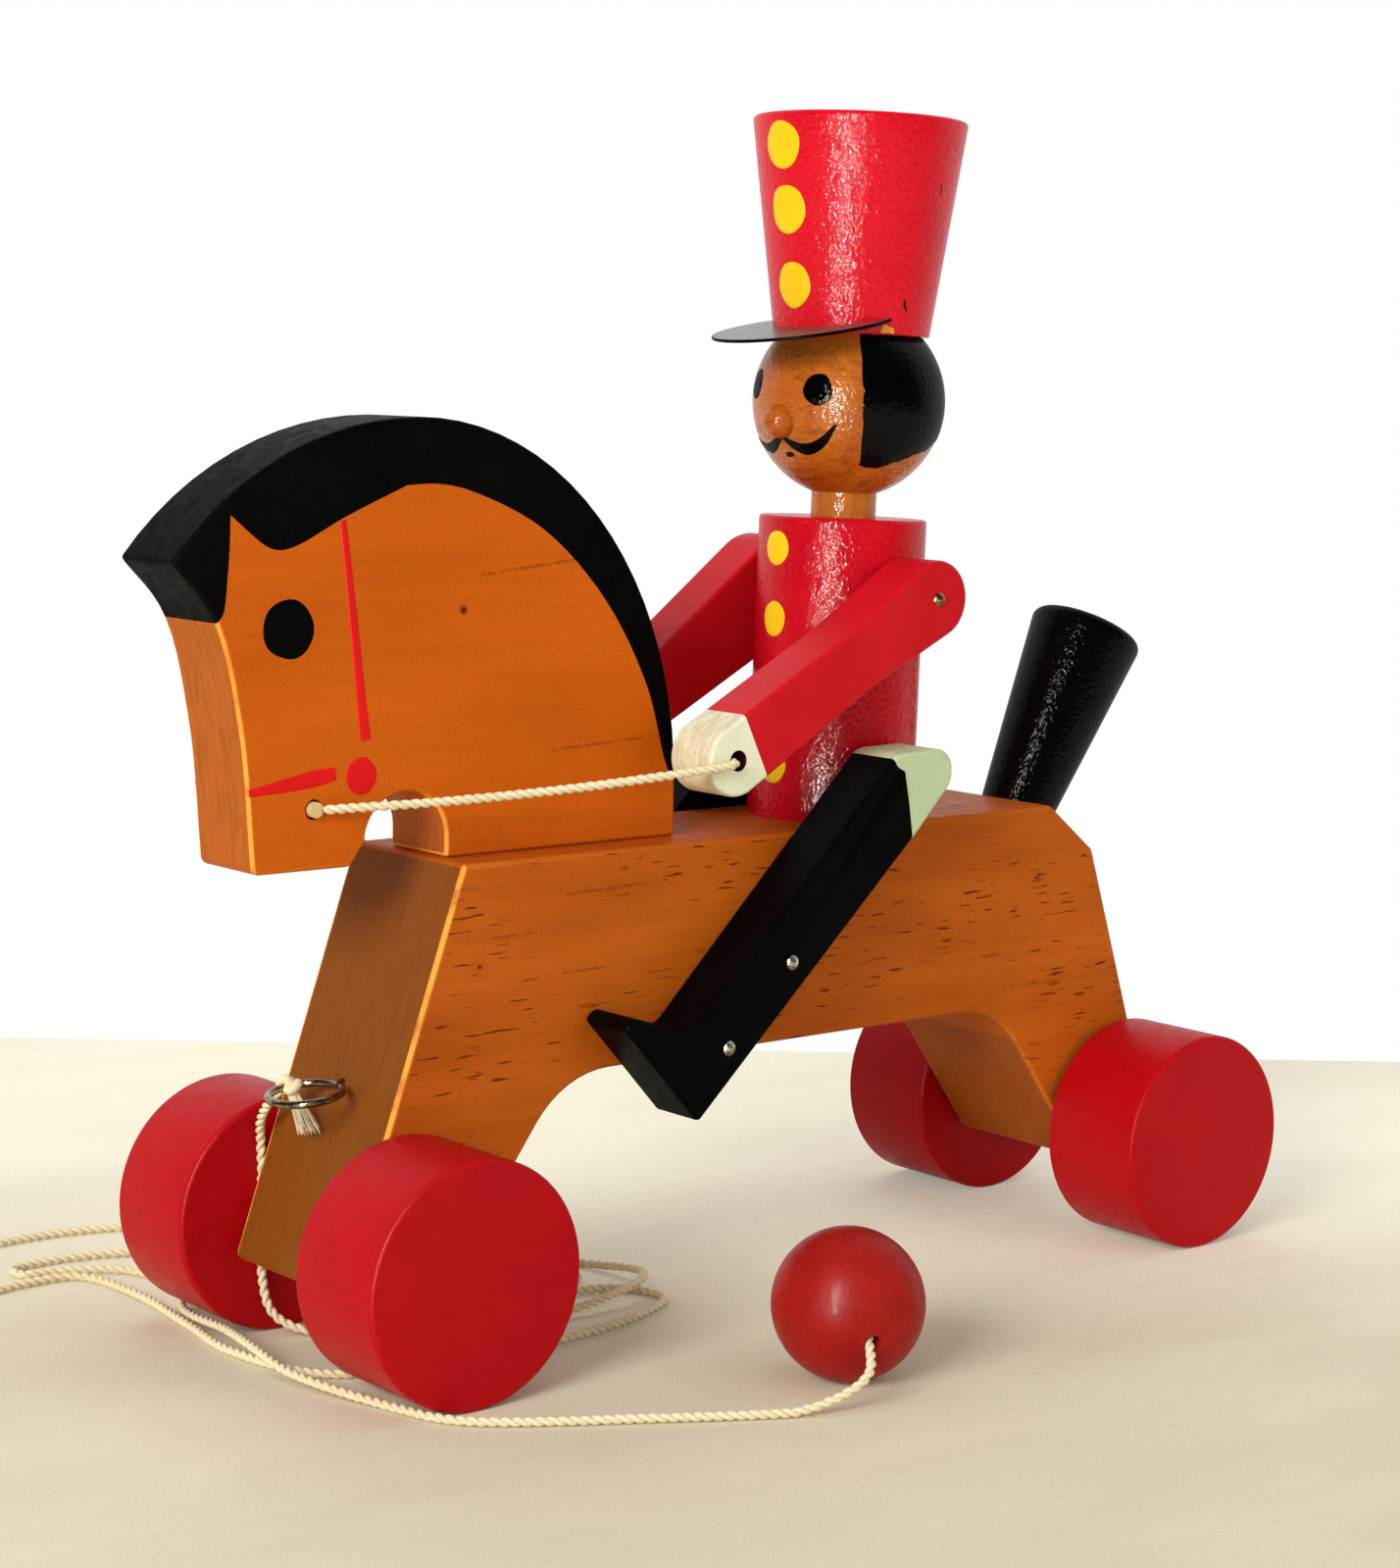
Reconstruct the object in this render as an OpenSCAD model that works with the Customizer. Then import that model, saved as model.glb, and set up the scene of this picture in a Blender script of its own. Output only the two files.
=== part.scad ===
// A wooden pull toy: a board horse on four wheels with a jointed rider.
// The horse faces -X, its left side is -Y, and the wheels stand on z = 0.

/* [Wheels and axles] */
// Distance between the two axles
wheelbase = 199; // [180:1:220]
// Diameter of each wheel
wheel_d = 48; // [40:1:52]
// Thickness of each wheel
wheel_w = 25.5; // [16:0.5:30]
// Rounding of a wheel's edges
wheel_round = 1; // [0.5:0.5:4]
// Diameter of the wooden axles
axle_d = 6.4; // [4:0.2:8]
// Radial clearance of an axle in the body
axle_clearance = 0.06; // [0.02:0.01:0.1]
// Depth of the blind bore in a wheel
axle_seat = 18; // [8:1:22]
// Gap between the left front wheel and the body
front_gap = 0.5; // [0.4:0.1:3]
// Gap between the right front wheel and the body, through which the pull cord hangs
cord_gap = 2.5; // [2.4:0.1:3.2]
// Gap between a rear wheel and the body
rear_gap = 1.5; // [0.4:0.1:4]

/* [Horse body] */
// Thickness of the body board
body_t = 38; // [34:1:44]
// Height of the body's top above the floor
body_top = 98.5; // [92:0.5:106]
// Height of the feet above the floor
foot_z = 17; // [14:0.5:18]
// Half the body's length along its top
back_half = 85; // [80:1:92]
// Half the body's length at the feet
foot_half = 113; // [106:1:118]
// Width of each foot
foot_w = 25.7; // [22:0.5:30]
// Height of the belly above the floor
belly_z = 54.5; // [48:0.5:58]
// Half the length of the straight belly, before its corners are rounded
belly_half = 60; // [54:1:66]
// Radius where the belly runs into the legs
arch_r = 22; // [8:1:26]
// Length of the sloping cut at the rump, along the back
rump_run = 10; // [8:1:14]
// Drop of the sloping cut at the rump
rump_drop = 10.8; // [8:0.2:14]
// Rounding of the board's corners
corner_r = 1.5; // [0.5:0.1:2.5]

/* [Horse head] */
// Thickness of the head board
head_t = 19; // [15:1:24]
// How far the tip of the forelock lies ahead of the middle of the wheelbase
forelock_x = 143.5; // [138:0.5:150]
// Height of the forelock's tip above the back
forelock_h = 58.6; // [54:0.2:62]
// Height of the crest above the back
crest_h = 85; // [80:0.5:92]
// Distance of the crest's highest point ahead of the middle
crest_x = 89; // [85:0.5:93]
// Distance of the neck's rear edge ahead of the middle
nape_x = 25.5; // [20:0.5:30]
// Height of the straight foot of the neck's rear edge
nape_h = 11; // [8:0.5:16]
// Distance of the brow ahead of the middle
brow_x = 134.6; // [132:0.2:137]
// Height of the brow above the back
brow_h = 48.1; // [45:0.1:50]
// Distance of the hollow of the face ahead of the middle
muzzle_x = 129.1; // [127.5:0.1:131]
// Height of the hollow of the face above the back
muzzle_h = 27.5; // [22:0.5:33]
// Distance of the chin ahead of the middle
chin_x = 126.4; // [122:0.2:129]
// Width of the round slot that sets off the jaw
throat_w = 18.8; // [14:0.2:22]
// Distance of the throat slot's middle ahead of the middle
throat_x = 92; // [91:0.5:96]
// Height of the throat slot
throat_h = 13.6; // [11:0.2:18]
// Diameter of the hole through the mouth
mouth_d = 4; // [3.8:0.1:6]
// Distance of the mouth hole ahead of the middle
mouth_x = 113.1; // [110:0.1:116]
// Height of the mouth hole above the back
mouth_h = 11.6; // [8:0.2:16]
// Diameter of the dowels that hold the neck on the body
head_dowel_d = 8; // [5:0.5:10]
// Depth of a dowel in each board
dowel_depth = 15; // [10:1:20]

/* [Tail] */
// Diameter of the tail at its foot
tail_foot_d = 16.2; // [12:0.2:17]
// Diameter of the tail at its end
tail_end_d = 26.2; // [18:0.2:30]
// Length of the tail
tail_len = 49.4; // [36:0.2:60]
// Lean of the tail towards the rear
tail_lean = 28; // [20:0.5:36]
// Diameter of the tail's tenon
tail_tenon_d = 8; // [5:0.5:10]

/* [Rider] */
// Distance of the rider's seat behind the middle
seat_x = 25.7; // [20:0.1:32]
// Lean of the rider towards the rear
rider_lean = 1.6; // [0:0.1:3]
// Diameter of the rider's body
torso_d = 36; // [30:0.5:37]
// Height of the rider's body
torso_h = 63.9; // [58:0.1:70]
// Diameter of the neck dowel
neck_d = 14; // [10:0.5:16]
// Length of the neck that shows
neck_show = 5.7; // [4:0.1:9]
// Diameter of the ball that makes the head
ball_head_d = 41; // [37:0.5:44]
// Height of the head's middle above the seat
ball_head_z = 88.5; // [86:0.5:91]
// Height of the hat's foot above the seat
hat_z = 102.7; // [100:0.1:104]
// Diameter of the hat at its foot
hat_foot_d = 33.3; // [30:0.1:38]
// Diameter of the hat at its top
hat_top_d = 45.9; // [36:0.1:50]
// Height of the hat
hat_h = 45.2; // [36:0.1:52]
// Diameter of the nose bead
nose_d = 7.2; // [4:0.2:8]
// Drop of the nose below the ball's middle, as an angle
nose_drop = 13.4; // [8:0.2:18]
// Turn of the nose to the left
nose_turn = 2.5; // [0:0.5:5]
// Thickness of the hat's visor
visor_t = 0.7; // [0.5:0.1:1.2]
// Radius of the visor's edge
visor_r = 19.3; // [16:0.1:21]
// Distance of the visor's middle ahead of the hat's axis
visor_x = 13.8; // [13:0.1:17]
// Droop of the visor against the hat's foot
visor_droop = 11.6; // [9:0.2:12]

/* [Arms] */
// Thickness of an arm
arm_t = 12.7; // [9:0.1:15]
// Gap between an arm and the rider's body
arm_gap = 0.3; // [0.2:0.1:0.8]
// Height of the shoulder above the seat
shoulder_h = 48.2; // [44:0.2:52]
// Distance from the shoulder's nail to the hole in the hand
arm_len = 62.1; // [56:0.1:66]
// Droop of the left arm below the horizontal
left_droop = 29.4; // [26:0.2:33]
// Droop of the right arm below the horizontal
right_droop = 32.8; // [29:0.2:36]
// Radius of the left shoulder's round end
left_shoulder_r = 8.1; // [7:0.1:9]
// Radius of the right shoulder's round end
right_shoulder_r = 10.7; // [9:0.1:12]
// Length of the left upper arm, which narrows to the wrist
left_upper = 24; // [18:1:30]
// Length of the right upper arm, which narrows to the wrist
right_upper = 50; // [44:1:54]
// Half the width of the forearm
wrist_r = 6.6; // [5:0.1:7]
// Radius of the hand's round end
hand_r = 7.3; // [6:0.1:8]
// Diameter of the hole in the hand
hand_hole_d = 4.3; // [3.6:0.1:5]

/* [Legs] */
// Thickness of a leg board
leg_t = 13.5; // [10:0.5:16]

/* [Fasteners] */
// Diameter of the nails' shanks
nail_d = 1.6; // [1.2:0.1:2.2]
// Diameter of the nails' heads
nail_head_d = 3.1; // [2.6:0.1:4]
// Height of the nails' domed heads
nail_head_h = 0.8; // [0.5:0.1:1.2]
// Radial clearance of an arm on its nail
nail_clearance = 0.06; // [0.02:0.01:0.1]
// Diameter of the hidden dowels under the seat and in the hat
small_dowel_d = 6; // [4:0.5:8]
// Diameter of the peg that wedges the reins in the mouth hole
peg_d = 3; // [2.6:0.1:3.7]

/* [Screw eye and cords] */
// Height of the screw eye above the floor
eye_z = 54.6; // [50:0.2:60]
// Diameter of the screw eye's wire
eye_wire = 1.6; // [1.2:0.1:2]
// Radius of the screw eye's loop, to the middle of its wire
eye_r = 7.2; // [6.6:0.1:8]
// Droop of the screw eye
eye_droop = 7; // [0:1:10]
// Length of the screw eye's shank inside the wood
eye_depth = 13; // [8:1:16]
// Clearance between the screw eye's loop and the chest
eye_clear = 0.8; // [0.7:0.1:2]
// Diameter of the cord and the reins
cord_d = 2; // [1.6:0.1:2.2]
// Diameter of the wooden ball on the cord
pull_ball_d = 30; // [28:1:32]

/* [Hidden] */
$fn = 96;

wheel_r = wheel_d / 2;
axle_r = axle_d / 2;
side_y = body_t / 2;
front_x = -wheelbase / 2;
rear_x = wheelbase / 2;
// The origin lies under the middle of the whole toy, so the toy is moved back by this much
toy_shift = (forelock_x - rear_x - wheel_r) / 2;

body_rise = body_top - foot_z;
side_slope = (foot_half - back_half) / body_rise;
rump_foot = [back_half + side_slope * rump_drop, body_top - rump_drop];
rump_top = [rump_foot[0] - rump_run - side_slope * rump_drop, body_top];
rump_middle = (rump_foot + rump_top) / 2;

// Unit vector along v
function unit(v) = v / norm(v);

// Arc of radius c[2] that rounds the corner c between its neighbours p and n
function corner_arc(p, c, n, steps) =
    c[2] == 0 ? [[c[0], c[1]]] :
    let (
        corner = [c[0], c[1]],
        to_p = unit([p[0], p[1]] - corner),
        to_n = unit([n[0], n[1]] - corner),
        half = acos(to_p * to_n) / 2,
        middle = corner + unit(to_p + to_n) * c[2] / sin(half),
        first = corner + to_p * c[2] / tan(half) - middle,
        last = corner + to_n * c[2] / tan(half) - middle,
        a = atan2(first[1], first[0]),
        turn = (atan2(last[1], last[0]) - a + 900) % 360 - 180
    )
    [for (i = [0:steps]) middle + c[2] * [cos(a + turn * i / steps), sin(a + turn * i / steps)]];

// Outline whose corners, given as [x, z, radius], are rounded
function rounded(corners, steps = 8) =
    let (count = len(corners))
    [for (i = [0:count - 1])
        each corner_arc(corners[(i + count - 1) % count], corners[i], corners[(i + 1) % count], steps)];

// Elliptic arc about c, from angle a to angle b
function oval_arc(c, rx, rz, a, b, steps) =
    [for (i = [0:steps]) let (t = a + (b - a) * i / steps) [c[0] + rx * cos(t), c[1] + rz * sin(t)]];

// A board of thickness t, sawn to an outline in x and z, whose right side lies at y = y_right
module board(t, y_right) {
    translate([0, y_right, 0]) rotate([90, 0, 0]) linear_extrude(t) children();
}

// A round hole or pin along Y, from y_low to y_high
module pin_y(x, z, d, y_low, y_high) {
    translate([x, y_low, z]) rotate([-90, 0, 0]) cylinder(h = y_high - y_low, d = d);
}

// The same piece on the left side or, mirrored, on the right side
module on_side(left) {
    if (left) children();
    else mirror([0, 1, 0]) children();
}

// The two axles: each turns in a bore through the feet
module axle(x, left_gap, right_gap) {
    color("burlywood")
        pin_y(x, wheel_r, axle_d, -side_y - left_gap - axle_seat, side_y + right_gap + axle_seat);
}

// The right front wheel is thinner, so that its outer face lines up with the rear wheel's
cord_wheel_w = wheel_w + rear_gap - cord_gap;
// A turned wheel with rounded edges and a blind bore for the axle's end
module wheel(x, gap, width = wheel_w) {
    color("firebrick")
        translate([x, -side_y - gap, wheel_r]) rotate([90, 0, 0])
            difference() {
                rotate_extrude() polygon(concat(
                    [[0, 0]],
                    rounded([[0, 0, 0], [wheel_r, 0, wheel_round], [wheel_r, width, wheel_round],
                        [0, width, 0]])));
                translate([0, 0, -1]) cylinder(h = axle_seat + 1, r = axle_r);
            }
}

// Outline of the body board: a trapezium with a rump cut and an arched belly between the legs
module body_outline() {
    foot_in = foot_half - foot_w;
    polygon(rounded([
        [-back_half, body_top, corner_r],
        [-foot_half, foot_z, corner_r],
        [-foot_in, foot_z, corner_r],
        [-belly_half, belly_z, arch_r],
        [belly_half, belly_z, arch_r],
        [foot_in, foot_z, corner_r],
        [foot_half, foot_z, corner_r],
        [rump_foot[0], rump_foot[1], corner_r],
        [rump_top[0], rump_top[1], corner_r]]));
}

module body_board() {
    board(body_t, side_y) body_outline();
}

module horse_body() {
    bore_d = axle_d + 2 * axle_clearance;
    color("peru") difference() {
        body_board();
        for (x = [front_x, rear_x]) pin_y(x, wheel_r, bore_d, -side_y - 1, side_y + 1);
        head_dowel_pins();
        tail_tenon();
        seat_pin();
        eye_shank(eye_wire);
        leg_nail_shanks();
    }
}

// Angle on the crest's rear arc where it leaves the front arc
crest_angle = 86;
// Rounding of the chin
chin_r = 1.8;
// Length and height of the cut that slopes from the jaw into the throat slot
jaw_cut = [4, 4.6];
face_steps = 18;
// Outline of the head board: crest, forelock, hollow face, straight jaw, throat slot and neck
module head_outline() {
    crest_z = body_top + crest_h;
    tip = [-forelock_x, body_top + forelock_h];
    chin = [-chin_x, body_top];
    face = smooth([chin, [-muzzle_x, body_top + muzzle_h], [-brow_x, body_top + brow_h], tip], face_steps);
    mane_run = forelock_x - crest_x;
    mane_drop = crest_z - tip[1];
    mane_r = (mane_run * mane_run + mane_drop * mane_drop) / (2 * mane_drop);
    tip_angle = 90 + acos((mane_r - mane_drop) / mane_r);
    throat_r = throat_w / 2;
    difference() {
        polygon(concat(
            oval_arc([-crest_x, crest_z - mane_r], mane_r, mane_r, tip_angle, 90, 12),
            oval_arc([-crest_x, body_top + nape_h], crest_x - nape_x, crest_h - nape_h, crest_angle, 0, 20),
            [[-nape_x, body_top]],
            corner_arc([-nape_x, body_top], [chin[0], chin[1], chin_r], face[1], 6),
            [for (i = [2:face_steps - 2]) face[i]]));
        translate([-throat_x, body_top + throat_h - throat_r]) circle(d = throat_w);
        translate([-throat_x - throat_r, body_top - 1])
            square([throat_w, throat_h - throat_r + 1]);
        polygon([[-throat_x, body_top - 1], [-throat_x - throat_r - jaw_cut[0], body_top - 1],
            [-throat_x - throat_r, body_top + jaw_cut[1]], [-throat_x, body_top + jaw_cut[1]]]);
    }
}

module horse_head() {
    color("peru") difference() {
        board(head_t, head_t / 2) head_outline();
        pin_y(-mouth_x, body_top + mouth_h, mouth_d, -head_t, head_t);
        head_dowel_pins();
    }
}

// Two dowels, hidden in the neck's foot, hold the head board on the body
module head_dowel_pins() {
    neck_foot = throat_x - throat_w / 2 - nape_x;
    for (share = [0.25, 0.75])
        translate([-nape_x - neck_foot * share, 0, body_top - dowel_depth])
            cylinder(h = 2 * dowel_depth, d = head_dowel_d);
}

module head_dowels() {
    color("burlywood") head_dowel_pins();
}

// The tail's own frame: its foot lies in the middle of the rump's sloping cut
module tail_frame() {
    translate([rump_middle[0], 0, rump_middle[1]]) rotate([0, tail_lean, 0]) children();
}

module tail_tenon() {
    tail_frame() translate([0, 0, -dowel_depth]) cylinder(h = dowel_depth + 2, d = tail_tenon_d);
}

// A turned plug, wider at its end, whose foot is cut to the slope of the rump
module tail() {
    end_r = tail_end_d / 2;
    taper = (tail_end_d - tail_foot_d) / 2 / tail_len;
    spare = 6;
    color("#1c1a19") union() {
        tail_tenon();
        difference() {
            tail_frame() rotate_extrude() polygon(rounded([
                [0, -spare, 0], [tail_foot_d / 2 - taper * spare, -spare, 0],
                [end_r, tail_len - 1, 2.2], [0, tail_len, 0]]));
            body_board();
        }
    }
}

// The rider's own frame: its origin lies on the seat, and it leans to the rear
module rider_frame() {
    translate([seat_x, 0, body_top]) rotate([0, rider_lean, 0]) children();
}

module seat_pin() {
    rider_frame() translate([0, 0, -dowel_depth]) cylinder(h = 2 * dowel_depth, d = small_dowel_d);
}

module seat_dowel() {
    color("burlywood") seat_pin();
}

neck_seat = 14;
// The neck dowel goes from the rider's body into the ball of the head
module neck_pin() {
    translate([0, 0, torso_h - neck_seat])
        cylinder(h = 2 * neck_seat + neck_show, d = neck_d);
}

module neck_dowel() {
    color("peru") rider_frame() neck_pin();
}

// A turned body, cut flat along the horse's back
module rider_torso() {
    color("crimson") difference() {
        rider_frame() difference() {
            rotate_extrude() polygon(rounded([
                [0, -4, 0], [torso_d / 2, -4, 0], [torso_d / 2, torso_h, 0.8], [0, torso_h, 0]]));
            neck_pin();
        }
        seat_pin();
        arm_nail_shanks();
        translate([seat_x - torso_d, -torso_d, body_top - torso_d]) cube([2 * torso_d, 2 * torso_d, torso_d]);
    }
}

hat_dowel_len = 20;
module hat_pin() {
    translate([0, 0, hat_z - hat_dowel_len / 2]) cylinder(h = hat_dowel_len, d = small_dowel_d);
}

module hat_dowel() {
    color("burlywood") rider_frame() hat_pin();
}

// A wooden ball, sawn flat where the hat stands on it
module rider_head() {
    r = ball_head_d / 2;
    color("peru") rider_frame() difference() {
        translate([0, 0, ball_head_z]) sphere(r = r);
        translate([-r, -r, hat_z]) cube([2 * r, 2 * r, r]);
        neck_pin();
        hat_pin();
    }
}

glue_gap = 0.03;
// A half bead, glued on the front of the ball
module nose() {
    color("peru") rider_frame() difference() {
        translate([0, 0, ball_head_z]) rotate([0, -nose_drop, nose_turn])
            translate([-ball_head_d / 2, 0, 0]) rotate([0, 90, 0]) sphere(d = nose_d, $fn = 48);
        translate([0, 0, ball_head_z]) sphere(d = ball_head_d + 2 * glue_gap);
    }
}

// The plane of the visor: it rises from the front edge of the hat's foot into the hat
module visor_frame() {
    translate([-hat_foot_d / 2, 0, hat_z]) rotate([0, -visor_droop, 0])
        translate([hat_foot_d / 2, 0, 0]) children();
}
visor_seat = 3.4;

// A thin fibre disc with a straight rear edge
module visor_disc(t) {
    visor_frame() intersection() {
        translate([-visor_x, 0, 0]) cylinder(h = t, r = visor_r);
        translate([-4 * visor_r - visor_seat, -2 * visor_r, -1]) cube([4 * visor_r, 4 * visor_r, t + 2]);
    }
}

module hat_visor() {
    color("#26241f") rider_frame() visor_disc(visor_t);
}

hat_round = 0.9;
// A tapered hat, wider at its top, with a sloping saw cut that holds the visor
module hat() {
    top_r = hat_top_d / 2;
    kerf = 4 * visor_r;
    color("crimson") rider_frame() difference() {
        translate([0, 0, hat_z]) rotate_extrude() polygon(rounded([
            [0, 0, 0], [hat_foot_d / 2, 0, 0], [top_r, hat_h, hat_round], [0, hat_h, 0]]));
        visor_frame() translate([-kerf - visor_seat, -kerf / 2, 0]) cube([kerf, kerf, visor_t]);
        hat_pin();
    }
}

// The shoulder's place in the horse's frame
shoulder = [seat_x + shoulder_h * sin(rider_lean), body_top + shoulder_h * cos(rider_lean)];
arm_in = torso_d / 2 + arm_gap;
arm_out = arm_in + arm_t;

// The hole in the hand, in x and z
function hand_at(droop) = shoulder - arm_len * [cos(droop), sin(droop)];
left_hand = hand_at(left_droop);
right_hand = hand_at(right_droop);

// The arm's own frame: its first axis runs from the shoulder to the hand
module arm_plane(droop) {
    translate(shoulder) rotate(180 + droop) children();
}

// Outline of an arm: a round shoulder, a narrower forearm and a round hand
module arm_outline(shoulder_r, upper) {
    shoulder_tilt = asin((shoulder_r - wrist_r) / upper);
    hand_tilt = asin((hand_r - wrist_r) / (arm_len - upper));
    polygon(concat(
        oval_arc([0, 0], shoulder_r, shoulder_r, 90 - shoulder_tilt, 270 + shoulder_tilt, 24),
        [[upper, -wrist_r]],
        oval_arc([arm_len, 0], hand_r, hand_r, -90 - hand_tilt, 90 + hand_tilt, 24),
        [[upper, wrist_r]]));
}

module arm(droop, shoulder_r, upper, hand) {
    color("crimson") difference() {
        board(arm_t, -arm_in) arm_plane(droop) arm_outline(shoulder_r, upper);
        pin_y(shoulder[0], shoulder[1], nail_d + 2 * nail_clearance, -arm_out - 1, -arm_in + 1);
        pin_y(hand[0], hand[1], hand_hole_d, -arm_out - 1, -arm_in + 1);
    }
}

// A nail along Y: its shank, and a domed head that starts at y = y_head
module nail(x, z, y_head, length) {
    dome_r = (nail_head_d * nail_head_d / 4 + nail_head_h * nail_head_h) / (2 * nail_head_h);
    pin_y(x, z, nail_d, y_head, y_head + length);
    translate([x, y_head, z]) rotate([90, 0, 0]) intersection() {
        translate([0, 0, nail_head_h - dome_r]) sphere(dome_r, $fn = 48);
        cylinder(h = nail_head_h, d = nail_head_d);
    }
}

arm_nail_depth = 12;
arm_play = 0.1;
module arm_nail_shanks() {
    for (left = [true, false])
        on_side(left) pin_y(shoulder[0], shoulder[1], nail_d, -arm_out - arm_play, -arm_in + arm_nail_depth);
}

module arm_nails() {
    color("silver") for (left = [true, false])
        on_side(left) nail(shoulder[0], shoulder[1], -arm_out - arm_play,
            arm_t + arm_play + arm_nail_depth);
}

// The rider's legs: a thigh that rises beside the body, a straight boot and a foot
knee_front = [15.2, 115.2, 5];
knee_back = [31.6, 115.6, 4.6];
knee_under = [30.9, 108.2, 4];
calf = [21.8, 98.6, 12];
heel = [-36.6, 44.2, 1];
toe_low = [-55.9, 65.4, 1.2];
toe_high = [-53.3, 67.2, 1.5];
instep = [-38, 62.4, 3];
module leg_outline() {
    polygon(rounded([knee_front, knee_back, knee_under, calf, heel, toe_low, toe_high, instep], 6));
}

module leg() {
    color("#1f1d1c") difference() {
        board(leg_t, -side_y) leg_outline();
        leg_nail_shanks();
    }
}

leg_nail_places = [[-12.6, 74.2], [-29, 58.4]];
leg_nail_len = 25;
module leg_nail_shanks() {
    for (left = [true, false], p = leg_nail_places)
        on_side(left) pin_y(p[0], p[1], nail_d, -side_y - leg_t, -side_y - leg_t + leg_nail_len);
}

module leg_nails() {
    color("silver") for (left = [true, false], p = leg_nail_places)
        on_side(left) nail(p[0], p[1], -side_y - leg_t, leg_nail_len);
}

// A peg through the mouth hole wedges both reins
peg_show = 1;
module rein_peg() {
    color("wheat") pin_y(-mouth_x, body_top + mouth_h, peg_d, -head_t / 2 - peg_show, head_t / 2 + peg_show);
}

// Ring of a tube's cross-section at c, square to the direction d
function tube_ring(c, d, r, sides) =
    let (
        across = unit(cross(abs(d[2]) > 0.9 ? [1, 0, 0] : [0, 0, 1], d)),
        over = cross(d, across)
    )
    [for (i = [0:sides - 1]) c + r * (cos(360 * i / sides) * across + sin(360 * i / sides) * over)];

// A closed tube through the points
module tube(points, d, sides) {
    last = len(points) - 1;
    rings = [for (i = [0:last])
        each tube_ring(points[i], unit(points[min(i + 1, last)] - points[max(i - 1, 0)]), d / 2, sides)];
    walls = [for (i = [0:last - 1], k = [0:sides - 1])
        let (a = i * sides + k, b = i * sides + (k + 1) % sides)
        each [[a, b, a + sides], [b, b + sides, a + sides]]];
    polyhedron(rings, concat(walls,
        [[for (k = [sides - 1:-1:0]) k], [for (k = [0:sides - 1]) last * sides + k]]));
}

// Place at the share u of the stretch from b to c, on a smooth curve through a, b, c and d
function stretch(a, b, c, d, u) =
    let (
        before = -sqrt(norm(b - a)),
        next = sqrt(norm(c - b)),
        after = next + sqrt(norm(d - c)),
        t = u * next,
        ab = (b * (t - before) - a * t) / -before,
        bc = (b * (next - t) + c * t) / next,
        cd = (c * (after - t) + d * (t - next)) / (after - next),
        abc = (ab * (next - t) + bc * (t - before)) / (next - before),
        bcd = (bc * (after - t) + cd * t) / after
    )
    (abc * (next - t) + bcd * t) / next;

// Place at t along the smooth curve through the points, where t counts points
function spline(points, t) =
    let (
        last = len(points) - 1,
        i = min(floor(t), last - 1),
        b = points[i],
        c = points[i + 1],
        a = i > 0 ? points[i - 1] : 2 * b - c,
        d = i < last - 1 ? points[i + 2] : 2 * c - b
    )
    stretch(a, b, c, d, t - i);

function smooth(points, rings) =
    [for (i = [0:rings - 1]) spline(points, i * (len(points) - 1) / (rings - 1))];

// The same points, none of them lower than a height
function lifted(points, low) = [for (p = points) [p[0], p[1], max(p[2], low)]];

// A rein on the left side, from the mouth to the knot behind the hand, drawn for either hand
cord_r = cord_d / 2;
rein_clear = 0.3;
rein_out = -arm_out - cord_r - rein_clear;
rein_start = [-mouth_x + peg_d / 2 + 0.1, -head_t / 2 - cord_r - rein_clear, body_top + mouth_h];
// How far the rein sags below the straight line between its ends
rein_sag = 0.8;
// The rein lies at the front wall of the hole in the hand
rein_shift = [-0.65, -0.3];
function between(a, b, share, sag) = a * (1 - share) + b * share - [0, 0, sag];
function rein_points(hand) =
    let (
        inside = hand + rein_shift,
        front = [hand[0] - hand_r - 3, rein_out + 0.2, hand[1] - 1.2],
        edge = [inside[0] - 4.4, rein_out, inside[1] - 0.6]
    )
    [
        rein_start,
        between(rein_start, front, 0.33, rein_sag),
        between(rein_start, front, 0.67, rein_sag),
        front,
        edge,
        [inside[0] - 1.1, rein_out + 0.2, inside[1] - 0.1],
        [inside[0], -arm_out + 1.9, inside[1]],
        [inside[0], -arm_in - 1, inside[1]],
        [inside[0], -arm_in + rein_clear, inside[1]]];

module rein(hand) {
    color("antiquewhite") tube(smooth(rein_points(hand), 30), cord_d, 8);
}

// The knot that stops the rein behind the hand
knot_d = 5;
module hand_knot(hand) {
    color("antiquewhite") difference() {
        translate([hand[0], -arm_in + rein_clear, hand[1]]) sphere(d = knot_d, $fn = 32);
        translate([hand[0] - knot_d, -arm_in - knot_d + rein_clear, hand[1] - knot_d])
            cube([2 * knot_d, knot_d, 2 * knot_d]);
    }
}

// The screw eye's own frame: its origin lies on the chest, and the loop stands out along -X
module eye_frame() {
    chest_x = -foot_half + (eye_z - foot_z) * side_slope;
    translate([chest_x, 0, eye_z]) rotate([0, -eye_droop, 0]) children();
}
// Distance from the chest to the wire's middle where the shank runs into the loop
eye_show = eye_clear + eye_wire / 2;
eye_reach = eye_r + eye_show;
// How far the loop's middle lies to the left of the shank
eye_aside = 0.4;
// Angles at which the loop starts beside the shank and ends in a cut end
eye_start = -6;
eye_end = 338;

module eye_shank(show) {
    eye_frame() translate([-show, 0, 0]) rotate([0, 90, 0]) cylinder(h = eye_depth + show, d = eye_wire);
}

module eye_loop_frame() {
    eye_frame() translate([-eye_reach, -eye_aside, 0]) children();
}

module screw_eye() {
    color("dimgray") union() {
        eye_loop_frame() rotate([0, 0, eye_start])
            rotate_extrude(angle = eye_end - eye_start) translate([eye_r, 0]) circle(d = eye_wire, $fn = 24);
        eye_shank(eye_show);
    }
}

// The knot on the screw eye's loop, with the frayed end of the cord
tie = [-107.8, 6.75, 53.65];
tuft_foot = [2, -4.2, -9];
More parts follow.
